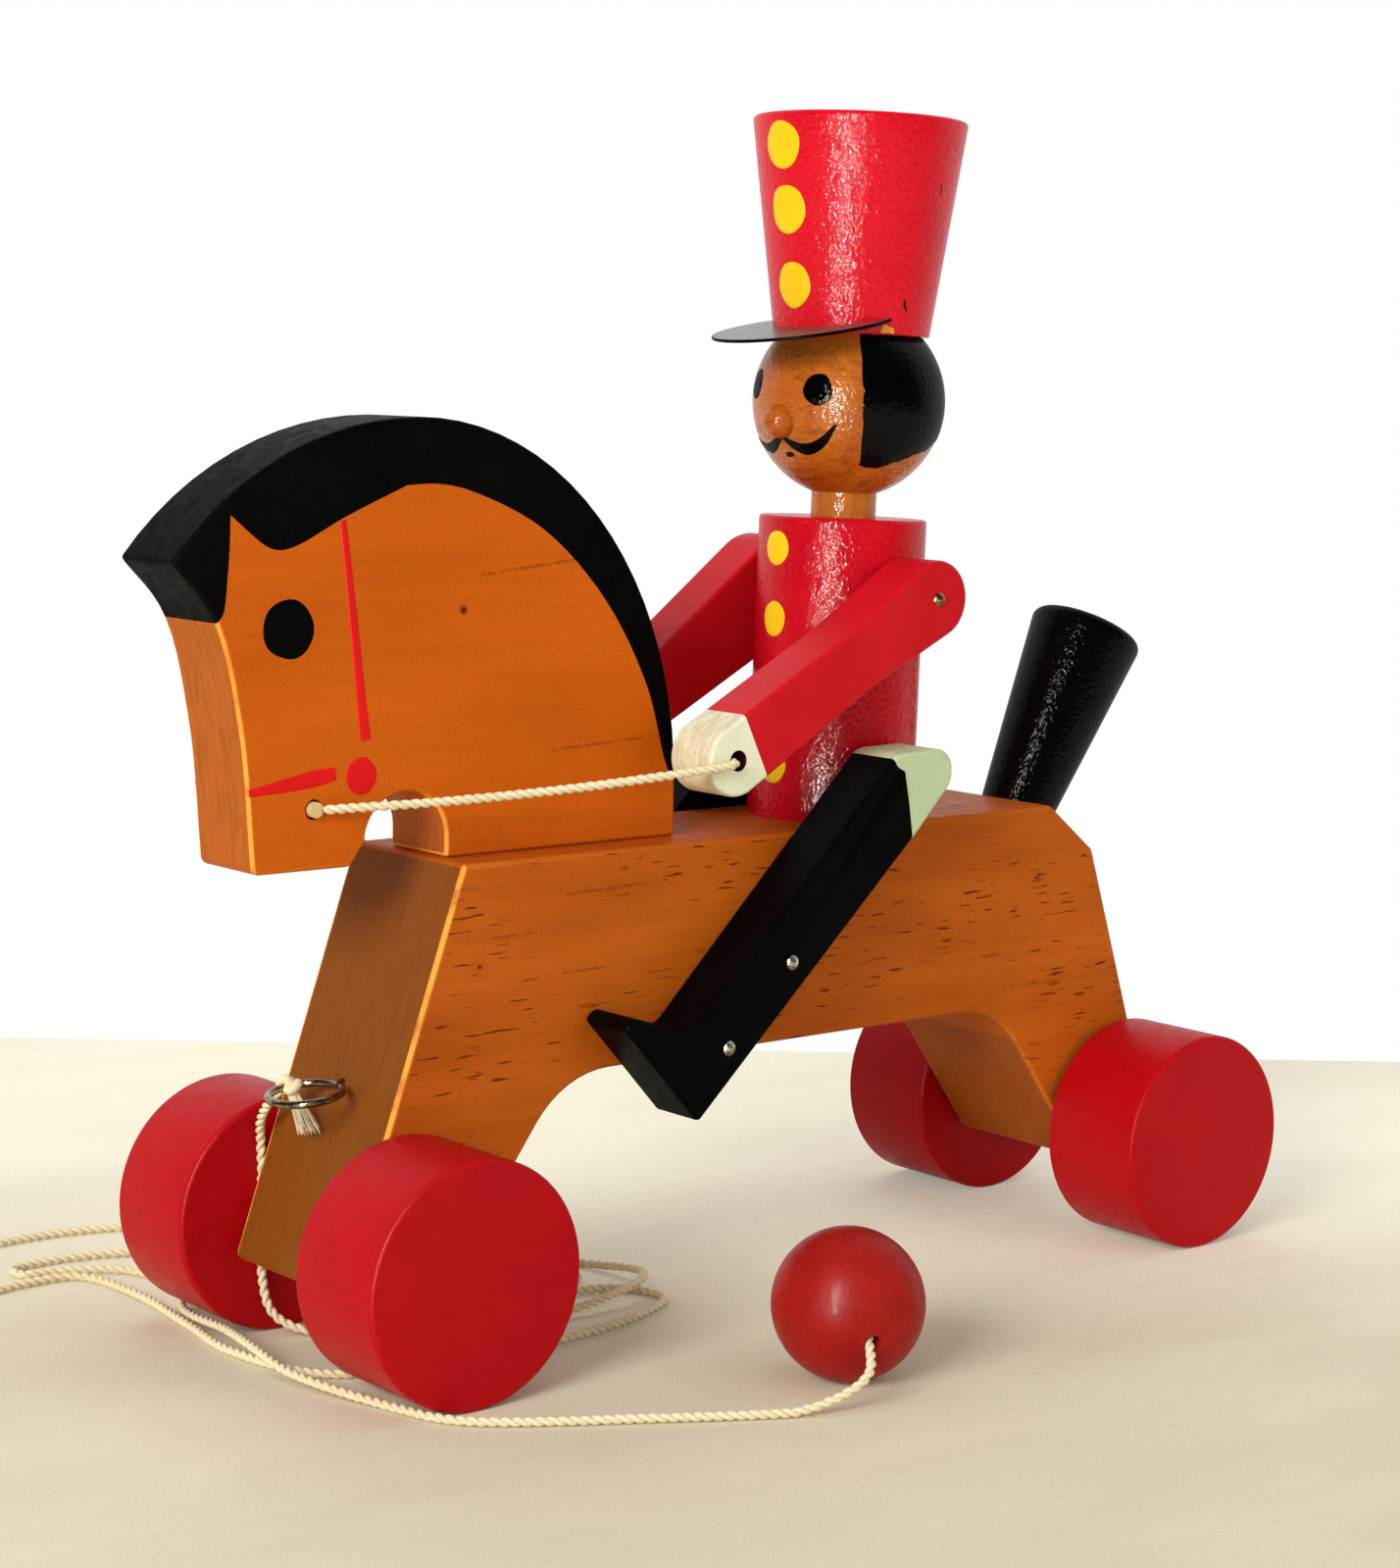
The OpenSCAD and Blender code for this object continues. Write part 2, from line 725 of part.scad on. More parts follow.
// The tuft stands a little off the line through the knot's middle
tuft_aside = [0.2, 0.1, 0];
module cord_knot() {
    tie_d = 5.2;
    tuft_len = 8;
    up = unit(-tuft_foot);
    color("antiquewhite") difference() {
        union() {
            translate(tie) sphere(d = tie_d, $fn = 32);
            translate(tie + tuft_foot + tuft_aside) rotate([0, acos(up[2]), atan2(up[1], up[0])])
                cylinder(h = tuft_len, r1 = 2.2, r2 = 1.1, $fn = 24);
        }
        eye_loop_frame() rotate_extrude() translate([eye_r, 0]) circle(d = eye_wire, $fn = 24);
    }
}

// The pull cord's route, from the knot to the ball
cord_points = [
    [-108.6, 9, 52.4], [-108.6, 13, 49.2], [-107.6, 17.6, 44.6], [-106.1, 20, 40], [-105.7, 20.2, 34],
    [-105.7, 20.2, 24], [-105.8, 20.2, 14], [-104.4, 17.8, 4.8], [-97, 12, 1],
    [-46, 8.6, 1], [-30, 15, 1], [-37, 28, 1], [-55, 62, 1], [-87, 104, 1],
    [-124, 108, 1], [-152, 95, 1], [-146, 75, 1], [-129, 77.4, 1], [-116, 75.6, 1],
    [-112.8, 58, 1], [-115.4, 32, 1], [-117.8, 12, 1], [-110.4, -12, 1], [-76, -19.6, 1],
    [-43, -17.4, 1], [-25.4, -8.6, 1], [-30, 3, 1], [-50, 4, 1], [-51, -4.8, 1],
    [-29, -3.6, 3.4], [-20.8, 5, 2.8], [-24, 23, 1], [-38, 43, 1.9], [-50, 51, 3.5],
    [-66, 62, 1.6], [-98, 86, 1], [-117, 90, 1], [-124.4, 88.4, 1], [-124.6, 83.4, 1], [-117.6, 81.8, 1],
    [-104.6, 73, 1], [-104.4, 55, 1], [-111, 41, 1], [-113.6, 21, 2.4],
    [-117.2, 5, 3.4], [-118.2, -10, 2.2], [-112.2, -35, 1], [-107, -49, 1], [-76, -70, 1],
    [-52, -83.4, 1.4], [-40, -87.2, 6.6], [-35, -82, 11.9]];
cord_rings = 84;

module pull_cord() {
    color("antiquewhite") tube(lifted(smooth(cord_points, cord_rings), cord_r), cord_d, 8);
}

// The wooden ball at the cord's end, with the hole that holds the cord's knot
ball_place = [-30, -70.5];
ball_hole_d = 3.2;
module pull_ball() {
    r = pull_ball_d / 2;
    centre = [ball_place[0], ball_place[1], r];
    hole = unit(cord_points[len(cord_points) - 1] - centre);
    color("firebrick") difference() {
        translate(centre) sphere(r);
        translate(centre) rotate([0, acos(hole[2]), atan2(hole[1], hole[0])])
            cylinder(h = r + 1, d = ball_hole_d);
    }
}

// Every piece is drawn about the middle of the wheelbase and then moved to the toy's origin
module placed() {
    translate([toy_shift, 0, 0]) children();
}

placed() horse_body();
placed() horse_head();
placed() head_dowels();
placed() tail();
placed() axle(front_x, front_gap, cord_gap);  // front_axle
placed() wheel(front_x, front_gap);  // front_wheel_left
placed() on_side(false) wheel(front_x, cord_gap, cord_wheel_w);  // front_wheel_right
placed() axle(rear_x, rear_gap, rear_gap);  // rear_axle
placed() wheel(rear_x, rear_gap);  // rear_wheel_left
placed() on_side(false) wheel(rear_x, rear_gap);  // rear_wheel_right
placed() leg();  // left_leg
placed() on_side(false) leg();  // right_leg
placed() leg_nails();
placed() rider_torso();
placed() seat_dowel();
placed() neck_dowel();
placed() rider_head();
placed() nose();
placed() hat_dowel();
placed() hat();
placed() hat_visor();
placed() arm(left_droop, left_shoulder_r, left_upper, left_hand);  // left_arm
placed() on_side(false) arm(right_droop, right_shoulder_r, right_upper, right_hand);  // right_arm
placed() arm_nails();
placed() hand_knot(left_hand);  // left_hand_knot
placed() on_side(false) hand_knot(right_hand);  // right_hand_knot
placed() rein(left_hand);  // rein_left
placed() on_side(false) rein(right_hand);  // rein_right
placed() rein_peg();
placed() screw_eye();
placed() cord_knot();
placed() pull_cord();
placed() pull_ball();
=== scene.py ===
"""The looks of a wooden horse with a jointed rider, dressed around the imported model."""

import math
import random

import bmesh
import bpy
import numpy as np
from mathutils import Matrix, Vector


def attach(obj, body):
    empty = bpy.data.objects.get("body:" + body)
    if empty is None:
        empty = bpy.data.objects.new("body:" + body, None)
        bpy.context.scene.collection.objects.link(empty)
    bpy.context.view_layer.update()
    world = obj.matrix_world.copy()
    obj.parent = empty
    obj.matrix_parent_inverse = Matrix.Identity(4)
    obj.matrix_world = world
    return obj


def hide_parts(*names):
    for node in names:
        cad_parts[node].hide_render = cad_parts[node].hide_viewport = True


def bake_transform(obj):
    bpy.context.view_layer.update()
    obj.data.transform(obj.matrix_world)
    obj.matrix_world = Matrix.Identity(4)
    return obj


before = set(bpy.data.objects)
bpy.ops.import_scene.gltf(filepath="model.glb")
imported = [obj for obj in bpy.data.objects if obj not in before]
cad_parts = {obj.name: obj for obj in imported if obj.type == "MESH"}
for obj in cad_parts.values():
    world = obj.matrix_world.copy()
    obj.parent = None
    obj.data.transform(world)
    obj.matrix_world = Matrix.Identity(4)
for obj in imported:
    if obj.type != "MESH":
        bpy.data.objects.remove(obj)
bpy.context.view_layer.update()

MM = 0.001
# The horse's places count from the middle of the wheelbase, and the toy is moved back by this
TOY_SHIFT = 10.0

# Boards, and the radii of rounded edges
BODY_TOP = 98.5
HEAD_T = 19.0
BODY_EDGE = 1.0
HEAD_EDGE = 0.8
LIMB_EDGE = 0.9
PEG_EDGE = 0.5
BALL_EDGE = 0.4
VISOR_EDGE = 0.2

# Rider
SEAT_X = 25.7
RIDER_LEAN = 1.6
TORSO_D = 36.0
HAT_Z = 102.7
HAT_FOOT_R = 16.65
HAT_TOP_R = 22.95
HAT_H = 45.2
BALL_R = 20.5
BALL_Z = 88.5
SHOULDER_H = 48.2
ARM_LEN = 62.1
ARM_IN = 18.3
ARM_OUT = 31.0
HAND_R = 7.3
HAND_HOLE_D = 4.3
# Each side's sign along Y and its name, and the droop of its arm in degrees
SIDES = ((-1, "left"), (1, "right"))
ARM_DROOP = {-1: 29.4, 1: 32.8}

# Cords
CORD_D = 2.0
CORD_R = CORD_D / 2
STRAND_R = 0.56
TWIST_PITCH = 4.2
MOUTH = (-113.1, 11.6)
PEG_D = 3.0
REIN_CLEAR = 0.3
REIN_SAG = 0.8


def toy(x, y, z):
    """A place in the toy's frame, in metres, from millimetres about the middle of the wheelbase."""
    return Vector(((x + TOY_SHIFT) * MM, y * MM, z * MM))


LEAN = math.radians(RIDER_LEAN)
# From the rider's own millimetres, about the foot of the rider's axis, to metres
RIDER = Matrix.Translation(toy(SEAT_X, 0, BODY_TOP)) @ Matrix.Rotation(LEAN, 4, "Y") @ Matrix.Scale(MM, 4)
SHOULDER = (SEAT_X + SHOULDER_H * math.sin(LEAN), BODY_TOP + SHOULDER_H * math.cos(LEAN))


def along_arm(side, far):
    """The place, in x and z, that lies this far from the shoulder along an arm."""
    droop = math.radians(ARM_DROOP[side])
    return SHOULDER[0] - far * math.cos(droop), SHOULDER[1] - far * math.sin(droop)


HAND = {side: along_arm(side, ARM_LEN) for side in ARM_DROOP}


# Camera
CAMERA_PLACE = (-0.43943, -0.52597, 0.19494)
CAMERA_HEADING = -39.811
CAMERA_RISE = 7.312
CAMERA_ROLL = 1.111
CAMERA_LENS = 75.642


def make_camera():
    data = bpy.data.cameras.new("camera")
    data.sensor_width = 36
    data.lens = CAMERA_LENS
    camera = bpy.data.objects.new("camera", data)
    heading = Matrix.Rotation(math.radians(CAMERA_HEADING), 4, "Z")
    rise = Matrix.Rotation(math.radians(90 - CAMERA_RISE), 4, "X")
    roll = Matrix.Rotation(math.radians(CAMERA_ROLL), 4, "Z")
    camera.matrix_world = Matrix.Translation(CAMERA_PLACE) @ heading @ rise @ roll
    bpy.context.scene.collection.objects.link(camera)
    bpy.context.scene.camera = camera


# Materials

def colour(red, green, blue):
    """A screen colour, 0 to 255, as the linear colour that a shader takes."""
    parts = [c / 255 for c in (red, green, blue)]
    return tuple(c / 12.92 if c <= 0.04045 else ((c + 0.055) / 1.055) ** 2.4 for c in parts) + (1.0,)


class Graph:
    """The nodes of a material or a world. Each call adds a node and, but for node, returns its socket."""

    def __init__(self, tree):
        self.nodes, self.links = tree.nodes, tree.links

    def node(self, kind, inputs, **settings):
        made = self.nodes.new(kind)
        for key, value in settings.items():
            setattr(made, key, value)
        for socket, value in inputs.items():
            if isinstance(value, bpy.types.NodeSocket):
                self.links.new(value, made.inputs[socket])
            else:
                made.inputs[socket].default_value = value
        return made

    def span(self, value, low, high, out_low=0.0, out_high=1.0):
        """The value, stretched so that low to high becomes out_low to out_high, and held there."""
        return self.node("ShaderNodeMapRange",
                         {"Value": value, "From Min": low, "From Max": high,
                          "To Min": out_low, "To Max": out_high}).outputs["Result"]

    def maths(self, operation, a, b=0.0):
        return self.node("ShaderNodeMath", {0: a, 1: b}, operation=operation).outputs[0]

    def product(self, first, *others):
        for other in others:
            first = self.maths("MULTIPLY", first, other)
        return first

    def part(self, vector, axis):
        """One of a vector's three parts."""
        return self.node("ShaderNodeSeparateXYZ", {"Vector": vector}).outputs[axis]

    def vectors(self, operation, a, b):
        return self.node("ShaderNodeVectorMath", {0: a, 1: b}, operation=operation).outputs["Value"]

    def blend(self, share, a, b):
        """From the number a to the number b by the share."""
        return self.node("ShaderNodeMix", {0: share, 2: a, 3: b}).outputs[0]

    def mix(self, share, a, b):
        """From a to b by the share. Either may be a screen colour."""
        a, b = (colour(*c) if isinstance(c, tuple) else c for c in (a, b))
        return self.node("ShaderNodeMix", {0: share, 6: a, 7: b}, data_type="RGBA").outputs[2]


class Finish(Graph):
    """One material."""

    def __init__(self, name, roughness=0.5, coat=0.0, coat_roughness=0.1, metallic=0.0, specular=0.5):
        self.material = bpy.data.materials.new(name)
        self.material.use_nodes = True
        super().__init__(self.material.node_tree)
        self.shader = self.nodes["Principled BSDF"]
        self.shader.inputs["Roughness"].default_value = roughness
        self.shader.inputs["Metallic"].default_value = metallic
        self.shader.inputs["Specular IOR Level"].default_value = specular
        self.shader.inputs["Coat Weight"].default_value = coat
        self.shader.inputs["Coat Roughness"].default_value = coat_roughness
        where = self.nodes.new("ShaderNodeTexCoord")
        self.place = where.outputs["Object"]
        self.facing = where.outputs["Normal"]

    def give(self, socket, value):
        self.links.new(value, self.shader.inputs[socket])

    def varnish(self, bumps, coat):
        """The same bumps under and, where there is one, on the clear coat."""
        self.give("Normal", bumps)
        if coat:
            self.give("Coat Normal", bumps)

    def noise(self, sizes, detail=2.0, roughness=0.5, seed=0.0, bend=0.0):
        """Noise whose features have these sizes along x, y and z, in millimetres."""
        scale = [1 / (s * MM) for s in sizes]
        spot = self.node("ShaderNodeMapping",
                         {"Vector": self.place, "Scale": scale, "Location": (seed, 0.7 * seed, 1.3 * seed)})
        return self.node("ShaderNodeTexNoise",
                         {"Vector": spot.outputs[0], "Scale": 1.0, "Detail": detail,
                          "Roughness": roughness, "Distortion": bend}).outputs["Fac"]

    def bump(self, height, depth, strength=1.0, before=None):
        """Bumps that are depth millimetres high."""
        inputs = {"Height": height, "Distance": depth * MM, "Strength": strength}
        if before is not None:
            inputs["Normal"] = before
        return self.node("ShaderNodeBump", inputs).outputs[0]


def along(axis, length, width):
    """Feature sizes for a grain along an axis."""
    return [length if k == axis else width for k in range(3)]


def knot_marks(f, base, knots, dark, streak):
    """Round knots, each at a spot, with a size in millimetres and a halo beside it."""
    for spot, size, halo in knots:
        around = f.vectors("DISTANCE", f.place, [a + b for a, b in zip(spot, halo)])
        base = f.mix(f.span(around, size * MM, size * 3.6 * MM, 0.55, 0.0), base, dark)
        away = f.vectors("DISTANCE", f.place, spot)
        base = f.mix(f.span(away, size * 0.35 * MM, size * 0.9 * MM, 0.85, 0.0), base, streak)
        base = f.mix(f.span(away, size * 0.2 * MM, size * 0.45 * MM, 0.9, 0.0), base, KNOT_HEART)
    return base


def crack_marks(f, base, cracks, streak, seed):
    """Broken dark lines: start and stop along X, the height at the start, the slope, and the width."""
    x, z = f.part(f.place, "X"), f.part(f.place, "Z")
    broken = f.span(f.noise((2.4, 2.4, 2.4), 1, 0.5, seed), 0.36, 0.5)
    for start, stop, height, slope, width in cracks:
        drift = f.product(f.maths("SUBTRACT", x, start), slope)
        away = f.maths("ABSOLUTE", f.maths("SUBTRACT", f.maths("SUBTRACT", z, drift), height))
        near = f.span(away, width * 0.2 * MM, width * MM, 0.5, 0.0)
        begun, ended = f.span(x, start, start + 2 * MM), f.span(x, stop - 2 * MM, stop, 1.0, 0.0)
        base = f.mix(f.product(near, begun, ended, broken), base, streak)
    return base


def wood(name, light, dark, streak, end, axis=0, seed=0.0, figure=0.12, dashes=0.0, knots=(), cracks=(),
         worn=None, gloss=0.0, ripple=0.03, bumps=0.7):
    """Varnished wood: tone, growth rings, fibres, short dark dashes, dark end grain, knots and cracks.

    The grain runs along an axis. Worn edges show another, paler colour, partly real wear and partly a
    painted highlight, most of all on edges at the front that face the window light."""
    f = Finish(name, roughness=0.45, coat=gloss, coat_roughness=0.12, specular=0.06)
    tone = f.span(f.noise(along(axis, 60, 17), 3, 0.55, seed), 0.32, 0.7)
    base = f.mix(tone, light, dark)
    rings = f.span(f.noise(along(axis, 130, 2.4), 3, 0.6, seed + 3.1, 0.4), 0.48, 0.75, 0.0, figure)
    base = f.mix(rings, base, streak)
    fibres = f.noise(along(axis, 5, 0.3), 2, 0.6, seed + 5.7)
    base = f.mix(f.span(fibres, 0.5, 0.85, 0.0, figure), base, streak)
    speckle = f.noise((0.55, 0.55, 0.55), 2, 0.6, seed + 2.2)
    base = f.mix(f.span(speckle, 0.5, 0.78, 0.0, 0.34), base, streak)
    base = f.mix(f.span(speckle, 0.24, 0.48, 0.3, 0.0), base, light)
    if dashes:
        crowd = f.span(f.noise(along(axis, 46, 15), 2, 0.5, seed + 9.3), 0.38, 0.54, 0.0, dashes)
        short = f.span(f.noise(along(axis, 7.0, 0.7), 1, 0.4, seed + 1.9), 0.66, 0.71)
        base = f.mix(f.product(short, crowd), base, streak)
    base = knot_marks(f, base, knots, dark, streak)
    if cracks:
        base = crack_marks(f, base, cracks, streak, seed + 6.6)
    facing = f.part(f.facing, axis)
    ends = f.span(f.maths("ABSOLUTE", facing), 0.7, 0.93)
    arcs = f.mix(f.span(f.noise((6, 0.9, 9), 3, 0.7, seed + 4.4, 0.5), 0.42, 0.7, 0.0, 0.4), end, streak)
    pores = f.mix(f.span(speckle, 0.45, 0.8, 0.0, 0.35), arcs, streak)
    base = f.mix(ends, base, pores)
    # Pale edges: partly real wear, partly a painted highlight, strongest on edges at the front that face
    # the window light
    if worn:
        rubbed = f.span(f.noise((6, 6, 6), 3, 0.6, seed + 7.7), 0.3, 0.5, 0.35, 1.0)
        front = f.span(f.part(f.place, "X"), -0.07, -0.05, 1.0, 0.2)
        ahead = f.span(facing, -0.45, -0.25, 1.0, 0.15)
        base = f.mix(f.product(rubbed, front, ahead), base, worn)
    f.give("Base Color", base)
    f.give("Roughness", f.span(f.noise((3, 3, 3), 2, 0.5, seed + 8), 0.3, 0.7, 0.36, 0.52))
    fine = f.bump(fibres, 0.03, 0.6)
    f.varnish(f.bump(f.noise((bumps,) * 3, 2, 0.5, seed + 6), ripple, 1.0, fine), gloss)
    return f.material


def paint(name, base, worn, roughness, seed, coat=0.0, ripple=0.02, waves=(1, 1, 1), chips=0.0,
          chip_colour=None, brushed=0.2, brush_sizes=(0.5, 0.5, 9.0), specular=0.1, dirt=None):
    """Brushed paint: uneven cover, strokes, waves in the gloss, chips, and dirt on the sawn edges."""
    f = Finish(name, roughness=roughness, coat=coat, coat_roughness=0.03, specular=specular)
    cover = f.span(f.noise((14, 14, 14), 3, 0.6, seed), 0.35, 0.7)
    skin = f.mix(f.product(cover, 0.5), base, worn)
    strokes = f.noise(brush_sizes, 3, 0.6, seed + 2.7)
    skin = f.mix(f.span(strokes, 0.45, 0.8, 0.0, brushed), skin, worn)
    grain = f.noise((0.5, 0.5, 0.5), 2, 0.6, seed + 7.1)
    skin = f.mix(f.span(grain, 0.55, 0.8, 0.0, 0.35), skin, worn)
    if dirt:
        sawn = f.span(f.maths("ABSOLUTE", f.part(f.facing, "Y")), 0.55, 0.95, 1.0, 0.0)
        smears = f.span(f.noise((5, 1.6, 5), 3, 0.7, seed + 3.3), 0.38, 0.68, 0.15, 0.75)
        skin = f.mix(f.product(sawn, smears), skin, dirt)
    if chips:
        chipped = f.span(f.noise((1.1, 1.1, 1.6), 3, 0.7, seed + 4.2), 1 - chips, 1.02 - chips)
        skin = f.mix(chipped, skin, chip_colour)
    f.give("Base Color", skin)
    uneven = f.noise((2.2, 2.2, 4), 2, 0.5, seed + 5)
    f.give("Roughness", f.span(uneven, 0.3, 0.7, roughness * 0.85, roughness * 1.2))
    fine = f.bump(strokes, 0.02, 0.5)
    f.varnish(f.bump(f.noise(waves, 2, 0.55, seed + 1.3, 0.3), ripple, 1.0, fine), coat)
    return f.material


def cord_finish():
    f = Finish("cotton", roughness=0.85, specular=0.25)
    fibres = f.noise((0.35, 0.35, 0.35), 3, 0.7)
    base = f.mix(f.span(fibres, 0.35, 0.75), (248, 238, 204), (222, 204, 156))
    dirt = f.span(f.noise((30, 30, 30), 2, 0.5, 3.3), 0.45, 0.7, 0.0, 0.4)
    f.give("Base Color", f.mix(dirt, base, (226, 208, 160)))
    f.give("Normal", f.bump(fibres, 0.12, 0.8))
    return f.material


def steel(name, base, dull, roughness):
    f = Finish(name, roughness=roughness, metallic=1.0)
    stain = f.span(f.noise((1.6, 1.6, 1.6), 3, 0.65), 0.4, 0.65)
    f.give("Base Color", f.mix(stain, base, dull))
    uneven = f.noise((0.8, 0.8, 0.8), 2, 0.5, 4.0)
    f.give("Roughness", f.span(uneven, 0.3, 0.7, roughness * 0.7, roughness * 1.6))
    f.give("Normal", f.bump(f.noise((0.7, 0.7, 0.7), 2, 0.6, 2.0), 0.05, 0.7))
    return f.material


def leather():
    f = Finish("visor_board", roughness=0.34, coat=0.2, coat_roughness=0.2)
    tone = f.noise((4, 4, 4), 3, 0.6)
    # The grey-olive is partly the sheet's own colour and partly a painted sheen of the bright wall, seen at
    # a grazing angle
    f.give("Base Color", f.mix(f.span(tone, 0.35, 0.7), (66, 70, 58), (96, 99, 84)))
    f.give("Normal", f.bump(f.noise((0.6, 0.6, 0.6), 3, 0.6), 0.04, 0.8))
    return f.material


PINE_STREAK = (112, 42, 6)
KNOT_HEART = (70, 12, 6)
# The pale colour of worn edges, which is also a painted highlight where they face the window light
WORN_AND_HIGHLIT_PINE = (250, 164, 62)
BODY_WOOD = dict(
    light=(204, 102, 24), dark=(180, 84, 14), streak=PINE_STREAK, end=(132, 74, 20),
    figure=0.16, dashes=1.0,
    knots=[((-0.0712, -0.019, 0.0783), 0.8, (0, 0, 0))],
    cracks=[(-0.070, -0.057, 0.0836, 0.02, 0.35), (0.061, 0.071, 0.0665, 0.02, 0.4),
            (-0.054, -0.030, 0.0905, 0.03, 0.35), (-0.052, -0.040, 0.075, 0.02, 0.35)])
HEAD_WOOD = dict(
    light=(216, 102, 12), dark=(202, 92, 10), streak=PINE_STREAK, end=(188, 98, 30),
    seed=11.0, figure=0.1,
    knots=[((-0.0691, -0.0095, 0.1465), 1.4, (-0.003, 0, 0.006))],
    cracks=[(-0.0660, -0.0345, 0.1530, 0.11, 0.5), (-0.0480, -0.0235, 0.1180, 0.05, 0.45)])
BEECH = dict(light=(226, 188, 130), dark=(206, 160, 100), streak=(150, 104, 56), end=(190, 140, 84))
# The thick rippled gloss on the rider's turned pieces, and the thinner one on the tail and the hair
GLOSSY = dict(coat=0.5, ripple=0.27, waves=(0.9, 0.9, 1.1), chips=0.25, specular=0.0)
SEMIGLOSS = dict(coat=0.22, specular=0.0)
# White paint that has been handled
HANDLED = dict(ripple=0.03, waves=(1.2, 1.2, 1.2), chips=0.3, chip_colour=(96, 92, 74))
M = {
    "body": wood("pine_body", **BODY_WOOD),
    "body_edge": wood("pine_body_edge", worn=WORN_AND_HIGHLIT_PINE, **BODY_WOOD),
    "head": wood("pine_head", **HEAD_WOOD),
    "head_edge": wood("pine_head_edge", worn=WORN_AND_HIGHLIT_PINE, **HEAD_WOOD),
    "ball_wood": wood("pine_ball", (218, 124, 38), (180, 86, 18), (92, 34, 8), (190, 98, 28),
                      axis=1, seed=21.0, figure=0.6, gloss=0.5, ripple=0.26, bumps=1.2),
    "neck_wood": wood("pine_neck", (212, 132, 48), (184, 98, 26), (110, 48, 12), (180, 100, 36),
                      axis=2, seed=31.0, figure=0.4, gloss=0.5, ripple=0.24, bumps=1.2),
    "dowel": wood("beech_dowel", axis=2, seed=41.0, **BEECH),
    "axle": wood("beech_axle", axis=1, seed=43.0, **BEECH),
    "peg": wood("peg_wood", (236, 208, 150), (214, 178, 116), (150, 104, 56), (232, 204, 146),
                axis=1, seed=47.0),
    "wheel": paint("wheel_red", (184, 6, 16), (168, 4, 12), 0.4, 1.0, ripple=0.015, waves=(2, 2, 2),
                   brush_sizes=(5, 0.6, 5)),
    "pull": paint("ball_red", (170, 28, 20), (126, 12, 10), 0.42, 3.0, coat=0.03, ripple=0.05,
                  waves=(0.8, 0.8, 0.8), brushed=0.7, brush_sizes=(0.5, 0.5, 6)),
    "coat": paint("coat_red", (222, 14, 38), (196, 6, 26), 0.4, 5.0, chip_colour=(120, 8, 18), **GLOSSY),
    "jacket": paint("jacket_red", (204, 14, 32), (176, 6, 22), 0.4, 6.0, chip_colour=(110, 6, 16),
                    **GLOSSY),
    "arm": paint("arm_red", (208, 18, 32), (188, 8, 22), 0.42, 7.0, waves=(2, 2, 2), chips=0.2,
                 chip_colour=(110, 12, 16), brush_sizes=(6, 1.2, 6)),
    "black": paint("black", (2, 2, 2), (8, 9, 8), 0.42, 9.0, waves=(1.4, 1.4, 1.4), specular=0.03),
    "tail": paint("tail_black", (3, 5, 5), (8, 12, 11), 0.34, 13.0, ripple=0.2, waves=(0.95, 0.95, 1.1),
                  **SEMIGLOSS),
    "hair": paint("hair_black", (2, 3, 4), (7, 9, 9), 0.34, 15.0, ripple=0.18, waves=(1.0, 1.0, 1.2),
                  **SEMIGLOSS),
    "mane": paint("mane_black", (2, 2, 2), (9, 11, 10), 0.5, 17.0, waves=(1.1, 1.1, 1.1), brushed=0.4,
                  specular=0.03),
    "glove": paint("glove_white", (240, 244, 214), (214, 216, 184), 0.5, 19.0, dirt=(196, 172, 128),
                   **HANDLED),
    "knee": paint("knee_white", (196, 214, 170), (168, 188, 144), 0.5, 29.0, dirt=(198, 184, 144),
                  **HANDLED),
    "yellow": paint("button_yellow", (252, 206, 18), (236, 176, 10), 0.4, 23.0, coat=0.1, chips=0.26,
                    chip_colour=(150, 110, 10)),
    "strap": paint("strap_red", (232, 20, 22), (210, 12, 18), 0.42, 25.0),
    # Painted shade: a very dark red on the walls of the hand's hole; the same red marks the hat's real
    # scratches
    "hole": paint("hole_shade_and_scratch_red", (64, 5, 11), (40, 4, 7), 0.5, 27.0),
    "raw": paint("raw_wood", (240, 176, 70), (214, 130, 36), 0.5, 45.0),
    "cotton": cord_finish(),
    "nail": steel("nail_steel", (214, 206, 190), (120, 104, 84), 0.28),
    "shoulder_nail": steel("shoulder_nail_steel", (196, 160, 110), (90, 66, 40), 0.24),
    "eye": steel("eye_steel", (150, 138, 112), (96, 84, 60), 0.16),
    "visor": leather(),
}


# Meshes

# An edge is sharp above this angle, in degrees
SHARP = 35
# A bevel of this radius or more isn't held back by short edges
WIDE_BEVEL = 0.8


def made(name, points, faces, material, smooth=40):
    """A mesh object from points in metres. Its faces turn outward and are smooth below an angle."""
    mesh = bpy.data.meshes.new(name)
    mesh.from_pydata([tuple(p) for p in points], [], faces)
    form = bmesh.new()
    form.from_mesh(mesh)
    bmesh.ops.recalc_face_normals(form, faces=form.faces)
    form.to_mesh(mesh)
    form.free()
    return shown(name, mesh, material, smooth)


def shown(name, mesh, material, smooth):
    finishes = material if isinstance(material, list) else [material]
    for finish in finishes:
        mesh.materials.append(M[finish])
    mesh.polygons.foreach_set("use_smooth", [True] * len(mesh.polygons))
    mesh.set_sharp_from_angle(angle=math.radians(smooth))
    piece = bpy.data.objects.new(name, mesh)
    bpy.context.scene.collection.objects.link(piece)
    return piece


def placed(piece, body, slot, *nodes):
    """The piece rides on a body and stands for some nodes, which it hides. The slot is not used."""
    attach(piece, body)
    if nodes:
        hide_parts(*nodes)
    return piece


def long_edges(edges, least=0.01):
    """The edges in connected runs that reach further than the rim of a small hole does."""
    left, kept = set(edges), []
    while left:
        run = [left.pop()]
        for edge in run:
            fresh = {e for v in edge.verts for e in v.link_edges} & left
            left -= fresh
            run += fresh
        places = [v.co for e in run for v in e.verts]
        reach = Vector([max(p[k] for p in places) - min(p[k] for p in places) for k in range(3)])
        if reach.length > least:
            kept += run
    return kept


